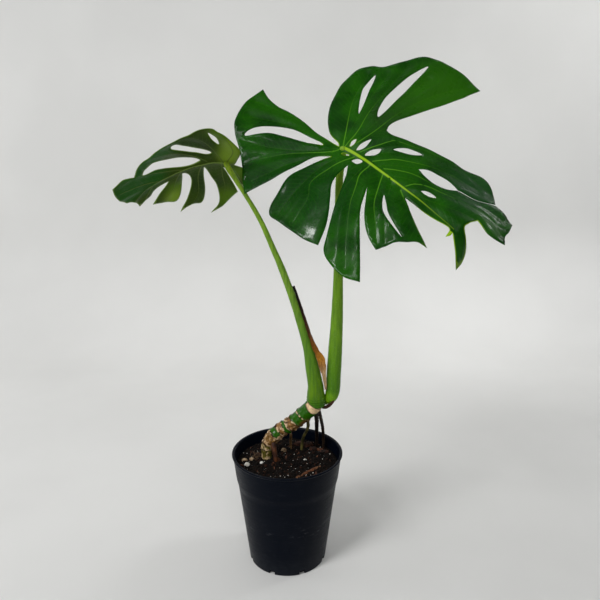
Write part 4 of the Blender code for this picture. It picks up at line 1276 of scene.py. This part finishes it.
def stone(name, mat, slot, rough, seed, facets):
    """A lumpy stone that fills its solid's box."""
    low, high = node_box(name)
    lump(name + "_stone", (low + high) / 2, (high - low) / 2, mat, slot, rough, seed, facets, name)


for index in (1, 2, 3):
    stone(f"pebble_{index}", PEBBLE, "pebble_tan", 0.10, 1.7 * index, 0.12)
    stone(f"perlite_{index}", PERLITE, "perlite_white", 0.12, 4.1 + index, 0.18)
stone("bark_chip", CHIP, "chip_bark", 0.12, 9.3, 0.35)
# Reddish bark lumps at the back: the red is their own, and their extra darkness over the chip bark is
# painted shade.
SHADED_RED_BARK = bits_material("bark_red_painted_shade", (0.014, 0.005, 0.003), (0.075, 0.022, 0.010),
                         0.7, 150.0)
BARK_LUMPS = [(17, 44, (9, 6, 5)), (29, 40, (8, 6, 6)), (52, 24, (7, 4, 3)),
              (36, 30, (6, 5, 3))]
for index, (x, y, half) in enumerate(BARK_LUMPS):
    lump(f"bark_lump_{index + 1}", Vector((x, y, SOIL_LEVEL + soil_height(x, y) + 1.0)),
         Vector(half), SHADED_RED_BARK, "chip_bark", 0.25, 3.3 * index, 0.4)


def ribbon(name, stations, face, thick, cup, ragged, seed, colours, mat, slot, *nodes):
    """A thin curled strip on (x, y, z, half width) stations, heights over the soil's
    level. `colours` runs along it as (share, colour)."""
    line = over_soil(stations, RIBBON_STEP)
    bm = bmesh.new()
    tint = bm.verts.layers.float_color.new("skin")
    sheets = ([], [])
    for i, knot in enumerate(line):
        share = i / (len(line) - 1)
        d = run_at(line, i).xyz.normalized()
        side = d.cross(Vector(face)).normalized()
        up = side.cross(d).normalized()
        for (a, first), (b, second) in zip(colours, colours[1:]):
            if share <= b:
                colour = blend(first, second, (share - a) / (b - a))
                break
        for sheet, lift in zip(sheets, (0.5, -0.5)):
            row = []
            for k in range(RIBBON_CELLS + 1):
                u = 2.0 * k / RIBBON_CELLS - 1.0
                tear = 1.0 - ragged * max(0.0, noise.noise((i * 0.16, u * 2.0, seed))) * abs(u)
                wave = 0.25 * knot.w * noise.noise((i * 0.07, u * 1.4, seed + 5.0))
                bend = cup * knot.w * (u * u - 0.4)
                spot = (knot.xyz + side * (u * knot.w * tear)
                        + up * (bend + wave + lift * thick * (1.0 - 0.7 * u * u)))
                vert = bm.verts.new(spot)
                fleck = 1.0 + 0.5 * noise.noise((i * 0.3, u * 5.0, seed + 9.0))
                vert[tint] = (*[max(0.0, c * fleck) for c in colour], 1.0)
                row.append(vert)
            sheet.append(row)
    top, bottom = sheets
    for i in range(len(line) - 1):
        for k in range(RIBBON_CELLS):
            bm.faces.new((top[i][k], top[i + 1][k], top[i + 1][k + 1], top[i][k + 1]))
            bm.faces.new((bottom[i][k], bottom[i][k + 1], bottom[i + 1][k + 1], bottom[i + 1][k]))
        bm.faces.new((top[i][0], bottom[i][0], bottom[i + 1][0], top[i + 1][0]))
        bm.faces.new((top[i][-1], top[i + 1][-1], bottom[i + 1][-1], bottom[i][-1]))
    for i in (0, -1):
        for k in range(RIBBON_CELLS):
            bm.faces.new((top[i][k], top[i][k + 1], bottom[i][k + 1], bottom[i][k]))
    bmesh.ops.recalc_face_normals(bm, faces=bm.faces)
    return stands_for(piece(name, bm, [mat]), slot, *nodes)


def skin_material(name, roughness, scale, strength, depth, fleck, coat=0.0, own_dull=True):
    """Paints a piece from its own `skin` colours, with finer mottling on top, and makes it
    duller by its own `dull` values where it has them."""
    mat, n, shader = new_material(name, roughness, specular=0.12, coat=coat, coat_rough=0.06)
    place = n.place()
    own = n.attribute("skin", "Color")
    grain = n.noise(place, scale, 5.0, 0.65)
    tone = n.mix(n.step(grain, 0.3, 0.7), (0.55, 0.52, 0.48), (1.15, 1.15, 1.12))
    n.put(shader.inputs["Base Color"], n.mix(fleck, own, n.mix(1.0, own, tone, 'MULTIPLY')))
    if own_dull:
        n.put(shader.inputs["Roughness"], n.math('ADD', n.attribute("dull"), roughness))
    roughen(n, shader, place, 1.6 * scale, strength, depth)
    return mat


PAPERY = skin_material("sheath_dry", 0.62, 420.0, 0.5, 0.0008, 0.6, own_dull=False)
SHEATH_PATH = [
    (51, -5, 107, 1.6), (50, -6, 119, 2.2), (48, -7, 130.5, 3.1), (46.4, -8, 141, 4.9),
    (44.5, -8.5, 150, 5.2), (39, -9, 161, 3.9), (33, -8.5, 174, 2.8), (26.7, -8, 193, 2.2),
    (20.2, -8, 214, 1.9), (13.2, -7, 235, 1.7), (9.0, -6, 247, 1.6),
]
ribbon("papery_sheath", SHEATH_PATH, (0.2, -1.0, 0.0), 0.6, 0.35, 0.5, 2.0,
       [(0.0, (0.45, 0.30, 0.17)), (0.16, (0.52, 0.34, 0.17)), (0.24, (0.40, 0.20, 0.06)),
        (0.32, (0.50, 0.21, 0.022)), (0.42, (0.24, 0.09, 0.014)), (0.58, (0.085, 0.034, 0.012)),
        (0.78, (0.022, 0.012, 0.008)), (1.0, (0.006, 0.005, 0.005))],
       PAPERY, "sheath_dry", "dried_sheath")
HUSK_SHARES = [(0.18, -0.70, 1.4), (0.35, -0.54, 2.6), (0.52, -0.38, 2.8), (0.65, -0.28, 1.2)]
husk_path = [(u * SOIL_EDGE, v * SOIL_EDGE,
              soil_height(u * SOIL_EDGE, v * SOIL_EDGE) + 1.3, half)
             for u, v, half in HUSK_SHARES]
ribbon("husk_curl", husk_path, (0.0, 0.0, 1.0), 0.8, -0.45, 0.35, 6.0,
       [(0.0, (0.20, 0.10, 0.05)), (0.3, (0.12, 0.045, 0.02)), (0.7, (0.16, 0.06, 0.028)),
        (1.0, (0.22, 0.12, 0.06))], PAPERY, "chip_bark", "husk_strip")

ribbon("lip_scrap", [(46, -6, 82, 1.2), (51, -8, 83.5, 2.4), (57, -7, 86.5, 2.6),
                     (62.5, -5, 92, 1.2)], (0.0, -1.0, -0.3), 0.8, 0.3, 0.5, 4.0,
       [(0.0, (0.030, 0.014, 0.009)), (0.5, (0.050, 0.022, 0.012)), (1.0, (0.09, 0.045, 0.022))],
       PAPERY, "sheath_dry")

# ---------------------------------------------------------------- roots

def root_material(name, dark, light):
    mat, n, shader = new_material(name, 0.6, specular=0.35)
    place = n.place()
    n.put(shader.inputs["Base Color"], mottled(n, place, dark, light, 120.0, 900.0, 0.5))
    roughen(n, shader, place, 700.0, 0.6, 0.001)
    return mat


# Upper stations over the soil, radius half way, where the root enters the soil in shares
# of its edge, radius there, dark and light bark colours.
ROOTS = {
    "root_thick": ([(-19, 2, 30, 3.3), (-18.3, -3, 22, 3.3)], 3.2, (-0.22, -0.10), 2.9,
                   (0.040, 0.011, 0.004), (0.15, 0.046, 0.011)),
    "root_tan": ([(4, 12, 42, 1.9), (4.6, 14, 32, 1.9)], 1.8, (0.06, 0.41), 1.6,
                 (0.15, 0.070, 0.022), (0.42, 0.26, 0.12)),
    "root_olive": ([(27, 5, 62, 2.3), (28.2, 8, 47, 2.1)], 2.1, (0.28, 0.33), 1.9,
                   (0.045, 0.040, 0.010), (0.17, 0.14, 0.035)),
    "root_dark": ([(35.5, 3, 75, 3.0), (39.6, 8, 62, 3.0)], 2.6, (0.60, 0.60), 2.2,
                  (0.008, 0.005, 0.004), (0.030, 0.015, 0.008)),
    "root_bent": ([(42, 1, 78, 2.3), (45.5, 10, 60, 2.3)], 2.2, (0.74, 0.56), 1.9,
                  (0.014, 0.009, 0.006), (0.045, 0.025, 0.012)),
}
ROOT_BOW, ROOT_ENTRY, ROOT_DEPTH = 0.75, 3.0, 9.0
for name, (upper, mid_radius, (u, v), foot_radius, dark, light) in ROOTS.items():
    x, y, z, _ = upper[-1]
    foot = (u * SOIL_EDGE, v * SOIL_EDGE, ROOT_ENTRY, foot_radius)
    middle = (x + ROOT_BOW * (foot[0] - x), y + ROOT_BOW * (foot[1] - y),
              0.5 * (z + ROOT_ENTRY), mid_radius)
    end = (foot[0], foot[1], ROOT_ENTRY - ROOT_DEPTH, 0.8 * foot_radius)
    line = tapered(upper + [middle, foot, end], SKIN_STEP)
    stands_for(grown(name + "_skin", line_source([line]), STALK, Sides=BARK_SIDES,
                     Lump_Height=0.0013, Lump_Scale=260.0,
                     Material=root_material(name + "_bark", dark, light)),
               "root_bark", name)

# ---------------------------------------------------------------- stalks


def stalk_material(name, bands, streak, speck):
    """Green skin that changes along the stalk; `bands` are (mm, colour) marks, and
    `streak` and `speck` how strongly long lines and pale flecks show."""
    mat, n, shader = new_material(name, 0.36, specular=0.12)
    place = n.place()
    along = n.attribute("along_mm")
    colour = bands[0][1]
    for (a, _), (b, second) in zip(bands, bands[1:]):
        colour = n.mix(n.step(along, a, b), colour, second)
    lines = n.noise(n.stretched(place, 0.08), 420.0, 3.0)
    colour = n.mix(n.math('MULTIPLY', n.step(lines, 0.4, 0.65), streak), colour,
                   (0.035, 0.11, 0.018))
    flecks = n.noise(place, 950.0, 2.0)
    colour = n.mix(n.math('MULTIPLY', n.step(flecks, 0.60, 0.70), speck), colour,
                   (0.34, 0.48, 0.18))
    # Dark lines in the grooves between the rings near the stalk's foot are painted shade.
    wobble = n.math('MULTIPLY', n.noise(place, 60.0, 2.0), 5.0)
    crease = n.math('PINGPONG', n.math('DIVIDE', n.math('ADD', along, wobble), 3.6), 0.5)
    crease = n.math('MULTIPLY', n.step(crease, 0.0, 0.14, 1.0, 0.0),
                    n.step(along, 10.0, 19.0, 0.7, 0.0))
    colour = n.mix(crease, colour, (0.020, 0.075, 0.003))
    n.put(shader.inputs["Base Color"], colour)
    n.put(shader.inputs["Roughness"], n.step(n.noise(place, 150.0, 3.0), 0.3, 0.7, 0.28, 0.46))
    roughen(n, shader, place, 700.0, 0.25, 0.0006)
    let_light_in(shader, 0.05, (0.004, 0.006, 0.002))
    return mat


SEAT_DROP = 1.5              # a stalk ends this far under its blade's middle


def seat(blade, radius):
    """The last station of a stalk, just under its blade's midrib."""
    spot = blade.origin - SEAT_DROP * blade.normal
    return (spot.x, spot.y, spot.z, radius)


LEFT_STALK = [
    (39.6, -1, 83, 11.2), (38.8, -1, 92, 12.1), (38.2, -1.5, 101, 11.5), (37.6, -2, 113, 10.2),
    (33, -2, 139, 8.9), (27.5, -2, 166, 6.8), (17.2, -2, 203, 6.0), (8.8, -1, 228, 5.0),
    (-4.9, 0, 266, 4.3), (-16, 3, 292, 3.7), (-32, 6, 328, 3.1), (-50, 8, 359, 2.7),
    (-64, 10, 381, 3.2), (-70, 12, 390, 3.8), seat(LEFT_BLADE, 3.6),
]
MAIN_STALK = [
    (52, 3, 88, 5.0), (55.5, 2, 91.5, 7.4), (59.3, 1.5, 97, 8.9), (61.2, 2, 106.5, 9.5),
    (61.8, 2, 125, 9.5),
    (63, 2, 151, 9.3), (65, 3, 203, 7.7), (66, 6, 253, 6.3), (66, 12, 304, 5.4),
    (66, 17, 354, 4.9), (67, 20, 385, 4.8), (69, 15, 402, 5.0), seat(MAIN_BLADE, 4.0),
]
LEFT_SKIN = stalk_material("stalk_left", [
    (0, (0.045, 0.17, 0.002)), (22, (0.115, 0.25, 0.006)), (70, (0.105, 0.24, 0.016)),
    (170, (0.18, 0.33, 0.032)), (300, (0.21, 0.37, 0.026)), (345, (0.32, 0.47, 0.022))],
    0.45, 0.12)
MAIN_SKIN = stalk_material("stalk_main", [
    (0, (0.20, 0.36, 0.008)), (14, (0.17, 0.38, 0.006)), (26, (0.080, 0.22, 0.006)),
    (120, (0.160, 0.33, 0.018)), (330, (0.22, 0.40, 0.026))], 0.35, 0.30)
left_stalk = stands_for(
    grown("left_stalk", line_source([tapered(LEFT_STALK, LINE_STEP, False)]), STALK,
          Sides=STALK_SIDES, Lump_Height=0.0008, Lump_Scale=45.0, Ring_Height=0.0008, Ring_Gap=3.6,
          Ring_Reach=15.0, Material=LEFT_SKIN), "stalk_green", "petiole_left")
stands_for(grown("main_stalk", line_source([tapered(MAIN_STALK, LINE_STEP)]), STALK,
                 Sides=STALK_SIDES, Lump_Height=0.0008, Lump_Scale=50.0, Ring_Height=0.0003, Ring_Gap=5.0,
                 Ring_Reach=12.0, Material=MAIN_SKIN), "stalk_green", "petiole_main")

# ---------------------------------------------------------------- stem

STEM_PATH = [
    (-29, 3, -14, 6.6), (-28.3, 4, 1, 6.9), (-28.2, 5, 12, 7.1), (-27, 7, 22, 8.2),
    (-20.5, 8, 32, 10.0), (-13.5, 9, 39, 9.8), (-5, 10, 44.5, 9.4), (5, 9, 51.5, 10.0),
    (15, 7, 61, 9.6), (23.4, 5, 69.3, 10.2), (31.4, 2, 77.2, 11.0), (37.3, 0, 85.3, 10.8),
]
GREEN, OLIVE = (0.022, 0.120, 0.001), (0.15, 0.13, 0.022)
TAN, KNOB, PALE = (0.30, 0.150, 0.040), (0.26, 0.135, 0.032), (0.76, 0.54, 0.33)
CREAM, BROWN = (0.86, 0.62, 0.36), (0.035, 0.012, 0.006)
# Where each band starts, in millimetres up the stem, its colour, and how rough it is.
STEM_BANDS = [(0, OLIVE, 0.4), (31, OLIVE, 0.5), (39, KNOB, 1.0), (55, GREEN, 0.1),
              (64, TAN, 0.7), (73, GREEN, 0.1), (79.5, TAN, 0.8), (91, GREEN, 0.1),
              (104.5, GREEN, 0.1)]
HALF_BAND = 55               # this band is green above and tan below
RIM_WIDTH, RIM_SWELL, RIM_RISE = 1.25, 1.3, 1.1
ROUGH_SWELL = 1.3
# The brown underside near the top of the stem: middle and half length up the stem.
UNDER_MIDDLE, UNDER_HALF, UNDER_SWELL = 99.0, 13.0, 1.2
UNDER_BROWN = (0.13, 0.055, 0.02)


FRONT = Vector((0, -1, 0))


def stem_ring(s, turn, spot):
    """Colour, outward swell in millimetres and dullness at one point of the stem."""
    wobble = 2.2 * noise.noise(spot * 0.11) + 0.8 * noise.noise(spot * 0.35)
    lean = 2.6 * math.sin(turn + 0.7)
    at = s + wobble + lean * (1.0 if s > 40.0 else 0.4)
    start, colour, rough = STEM_BANDS[0]
    for band in STEM_BANDS:
        if at >= band[0]:
            start, colour, rough = band
    gap = min(abs(at - band[0]) for band in STEM_BANDS[1:])
    if start == HALF_BAND and math.sin(turn) <= -0.2:
        colour, rough = TAN, 0.7
    swell = RIM_RISE * math.exp(-(gap / RIM_SWELL) ** 2)
    swell += rough * (ROUGH_SWELL * noise.fractal(spot * 0.20, 0.8, 2.1, 4))
    if rough > 0.3:
        crack = abs(noise.noise(spot * 0.15 + Vector((9, 4, 2))))
        # Painted light and shade on the rough bands: `light` brightens and darkens them, and `shine` lays
        # pale painted highlights on them.
        light = noise.noise(spot * 0.22 + Vector((1, 8, 5))) + 0.4 * noise.noise(spot * 0.7)
        tone = 0.12 + 0.88 * min(1.0, crack / 0.11) + 0.6 * light
        colour = tuple(c * max(0.06, tone) for c in colour)
        shine = min(1.0, max(0.0, (light - 0.12) / 0.25))
        colour = blend(colour, PALE, 0.75 * shine)
    if gap < RIM_WIDTH and start > 0:
        t = 1.0 - gap / RIM_WIDTH
        rim = PALE if noise.noise(spot * 0.22 + Vector((3, 1, 7))) > 0.02 else BROWN
        colour = blend(colour, rim, min(1.0, 1.6 * t))
    if abs(s - UNDER_MIDDLE) < UNDER_HALF:
        under = max(0.0, -math.sin(turn) - 0.15) * (1.0 - abs(s - UNDER_MIDDLE) / UNDER_HALF)
        t = min(1.0, 3.0 * under)
        colour = blend(colour, UNDER_BROWN, t)
        swell += UNDER_SWELL * t
    return colour, swell, 0.12 + 0.28 * rough


def stem_mesh():
    """The ringed stem, its bands read from its length and from the turn round it."""
    line = over_soil(STEM_PATH, SKIN_STEP)
    bm = bmesh.new()
    tint = bm.verts.layers.float_color.new("skin")
    dull = bm.verts.layers.float.new("dull")
    rings = []
    s = 0.0
    for i, knot in enumerate(line):
        if i:
            s += (knot.xyz - line[i - 1].xyz).length
        d = run_at(line, i).xyz.normalized()
        front = (FRONT - FRONT.dot(d) * d).normalized()
        side = front.cross(d).normalized()
        ring = []
        for k in range(STEM_SIDES):
            turn = 2 * math.pi * k / STEM_SIDES
            if turn > math.pi:
                turn -= 2 * math.pi
            out = math.cos(turn) * front + math.sin(turn) * side
            spot = knot.xyz + out * knot.w
            colour, swell, rough = stem_ring(s, turn, spot)
            vert = bm.verts.new(knot.xyz + out * (knot.w + swell))
            vert[tint] = (*colour, 1.0)
            vert[dull] = rough
            ring.append(vert)
        rings.append(ring)
    stitch(bm, rings)
    bm.faces.new(rings[0][::-1])
    bm.faces.new(rings[-1])
    bmesh.ops.recalc_face_normals(bm, faces=bm.faces)
    return bm


STEM_SKIN = skin_material("stem_skin", 0.12, 300.0, 0.40, 0.0008, 0.7, coat=0.25)
ringed_stem = stands_for(piece("ringed_stem", stem_mesh(), [STEM_SKIN]), "stem_skin", "stem")

# The pale half-moon a fallen stalk left under the collar, as (x, height over the soil).
SCAR_OUTLINE = [(24.2, 91.5), (27.5, 90.5), (33.3, 85.8), (40.8, 82.4), (47.5, 81.6),
                (46.5, 78.0), (39.0, 73.3), (32.4, 74.2), (26.7, 79.6), (24.0, 85.9)]
SCAR_STEP, SCAR_PROUD, SCAR_RIM, SCAR_DEPTH = 1.0, 0.7, 1.5, 1.0
SCAR_VIEW, SCAR_NEAR = -60.0, 55.0     # it is laid on from this far in front


def scar_mesh(targets):
    """A thin plate laid on the front of the target pieces inside the scar's outline."""
    trees = []
    for target in targets:
        bm = bmesh.new()
        bm.from_mesh(target.data)
        trees.append(bvhtree.BVHTree.FromBMesh(bm))
        bm.free()
    loop = smooth_curve([Vector(k) for k in SCAR_OUTLINE], SCAR_STEP, closed=True)
    rim = np.array([tuple(v) for v in loop])
    low, high = rim.min(axis=0), rim.max(axis=0)
    grid = np.array([(x, z) for x in np.arange(low[0], high[0], SCAR_STEP)
                     for z in np.arange(low[1], high[1], SCAR_STEP)])
    grid = grid[inside_mask(grid, [loop])]
    gap, _ = distance_to(grid, loop + loop[:1])
    spots = [Vector(v) for v in rim.tolist() + grid[gap > 0.5 * SCAR_STEP].tolist()]
    count = len(loop)
    flat, _, faces, _, _, _ = geometry.delaunay_2d_cdt(
        spots, [(k, (k + 1) % count) for k in range(count)], [], 1, 1e-5)
    bm = bmesh.new()
    tint = bm.verts.layers.float_color.new("skin")
    dull = bm.verts.layers.float.new("dull")
    gaps, _ = distance_to(np.array([tuple(v) for v in flat]), loop + loop[:1])
    sheets = ([], [])
    for spot, gap in zip(flat, gaps.tolist()):
        start = Vector((spot.x, SCAR_VIEW, spot.y + SOIL_LEVEL)) * MM
        hits = [h[0] for h in (t.ray_cast(start, -FRONT) for t in trees) if h[0]]
        if hits:
            place = min(hits, key=lambda h: h.y) / MM
        else:
            place = trees[0].find_nearest(start - FRONT * SCAR_NEAR * MM)[0] / MM
        proud = SCAR_PROUD * min(1.0, 0.3 + gap / 2.0)
        proud += 0.25 * noise.noise(place * 0.4)
        colour = tuple(c * (1.0 + 0.30 * noise.noise(place * 0.35)) for c in CREAM)
        side = min(1.0, max(0.0, (34.0 - spot.x) / 8.0))
        edge = max(0.0, 1.0 - gap / (SCAR_RIM * (0.6 + 0.8 * side)))
        colour = blend(colour, BROWN, min(1.0, 1.5 * edge))
        for sheet, lift in zip(sheets, (proud, -SCAR_DEPTH)):
            vert = bm.verts.new(place + Vector((0, -lift, 0)))
            vert[tint] = (*colour, 1.0)
            vert[dull] = 0.4
            sheet.append(vert)
    close_sheets(bm, faces, *sheets)
    bmesh.ops.recalc_face_normals(bm, faces=bm.faces)
    return bm


SCAR_SKIN = skin_material("scar_skin", 0.25, 350.0, 0.35, 0.0006, 0.45)
stands_for(piece("stalk_scar", scar_mesh([ringed_stem, left_stalk]), [SCAR_SKIN]), "stem_skin")

# ---------------------------------------------------------------- fibres

FIBRE = root_material("fibre_brown", (0.05, 0.024, 0.012), (0.20, 0.12, 0.06))
draw = random.Random(5)
TUFT, TUFT_HAIRS = (-0.62, 0.10), 26
hairs = []
for _ in range(TUFT_HAIRS):
    x = TUFT[0] * SOIL_EDGE + draw.uniform(-4.5, 4.5)
    y = TUFT[1] * SOIL_EDGE + draw.uniform(-3.5, 3.5)
    heading = draw.uniform(0, 2 * math.pi)
    reach = draw.uniform(4.0, 9.0)
    height = draw.uniform(1.5, 5.0)
    # Share of the reach, turn from the heading, height over the soil, radius.
    bends = [(0.0, 0.0, -0.5, 0.28), (0.4, 0.0, height, 0.26), (1.0, 0.6, 0.6 * height, 0.2),
             (1.0, 1.4, 0.3, 0.14)]
    hairs.append(tapered([
        (x + share * reach * math.cos(heading + turn),
         y + share * reach * math.sin(heading + turn),
         soil_height(x, y) + up, radius) for share, turn, up, radius in bends], LINE_STEP))
stands_for(grown("fibre_tuft", line_source(hairs), STALK, Sides=HAIR_SIDES, Lump_Height=0.0,
                 Material=FIBRE), "root_bark")

# ---------------------------------------------------------------- stage, light, camera


def area_light(name, place, aim, size, watts, spread):
    data = bpy.data.lights.new(name, 'AREA')
    data.spread = math.radians(spread)
    data.shape = 'RECTANGLE'
    data.size, data.size_y = size
    data.energy = watts
    lamp = bpy.data.objects.new(name, data)
    lamp.location = place
    lamp.rotation_euler = (Vector(aim) - Vector(place)).to_track_quat('-Z', 'Y').to_euler()
    bpy.context.scene.collection.objects.link(lamp)


def stage():
    """A pale floor that curves up into a pale wall behind the plant, in metres."""
    mat, n, shader = new_material("pale_paint", 0.85)
    tone = n.noise(n.place(), 3.0, 3.0)
    n.put(shader.inputs["Base Color"],
          n.mix(n.step(tone, 0.3, 0.7), (0.76, 0.76, 0.745), (0.80, 0.80, 0.785)))
    bm = bmesh.new()
    half, back, bend, top = 2.6, 1.1, 0.35, 3.0
    profile = [(-2.2, 0.0), (back - bend, 0.0)]
    profile += [(back - bend + bend * math.sin(a), bend - bend * math.cos(a))
                for a in (math.pi / 2 * k / 12 for k in range(1, 12))]
    profile += [(back, bend), (back, top)]
    rows = [[bm.verts.new((x, y, z)) for y, z in profile] for x in (-half, half)]
    for k in range(len(profile) - 1):
        bm.faces.new((rows[0][k], rows[1][k], rows[1][k + 1], rows[0][k + 1]))
    mesh = bpy.data.meshes.new("pale_stage")
    bm.to_mesh(mesh)
    bm.free()
    mesh.materials.append(mat)
    mesh.shade_smooth()
    link("pale_stage", mesh)


stage()
# Name, place and aim in metres, size, watts, spread in degrees.
LIGHTS = [
    ("soft_key", (-1.4, -1.4, 1.8), (0.05, 0.0, 0.35), (0.8, 0.8), 27.0, 180.0),
    ("soft_front", (0.2, -2.1, 2.1), (0.0, 0.0, 0.35), (0.9, 0.6), 8.0, 180.0),
    ("wash_left", (-1.9, 0.1, 0.9), (0.9, 1.1, 0.4), (0.5, 0.9), 4.0, 180.0),
    ("wash_right", (1.7, 0.75, 1.9), (0.7, 1.1, 0.7), (0.6, 0.6), 4.2, 72.0),
    ("glint_left", (-0.52, -0.78, 1.85), (0.0, -0.1, 0.55), (0.30, 0.30), 4.0, 180.0),
    ("glint_right", (1.25, 0.35, 1.65), (0.2, -0.1, 0.5), (0.22, 0.22), 0.7, 180.0),
]
for lamp in LIGHTS:
    area_light(*lamp)

world = bpy.data.worlds.new("soft_room")
world.use_nodes = True
sky = world.node_tree.nodes["Background"].inputs
sky["Color"].default_value = (0.99, 1.0, 1.0, 1.0)
sky["Strength"].default_value = 0.20
bpy.context.scene.world = world
bpy.context.scene.view_settings.view_transform = 'Standard'

CAMERA_PLACE = (0.0173, -0.745, 0.549)
CAMERA_PITCH = 13.7          # degrees below level
LENS, SENSOR = 36.0, 36.0
camera_data = bpy.data.cameras.new("camera")
camera_data.lens = LENS
camera_data.sensor_width = SENSOR
camera = bpy.data.objects.new("camera", camera_data)
camera.location = CAMERA_PLACE
camera.rotation_euler = (math.radians(90.0 - CAMERA_PITCH), 0.0, 0.0)
bpy.context.scene.collection.objects.link(camera)
bpy.context.scene.camera = camera
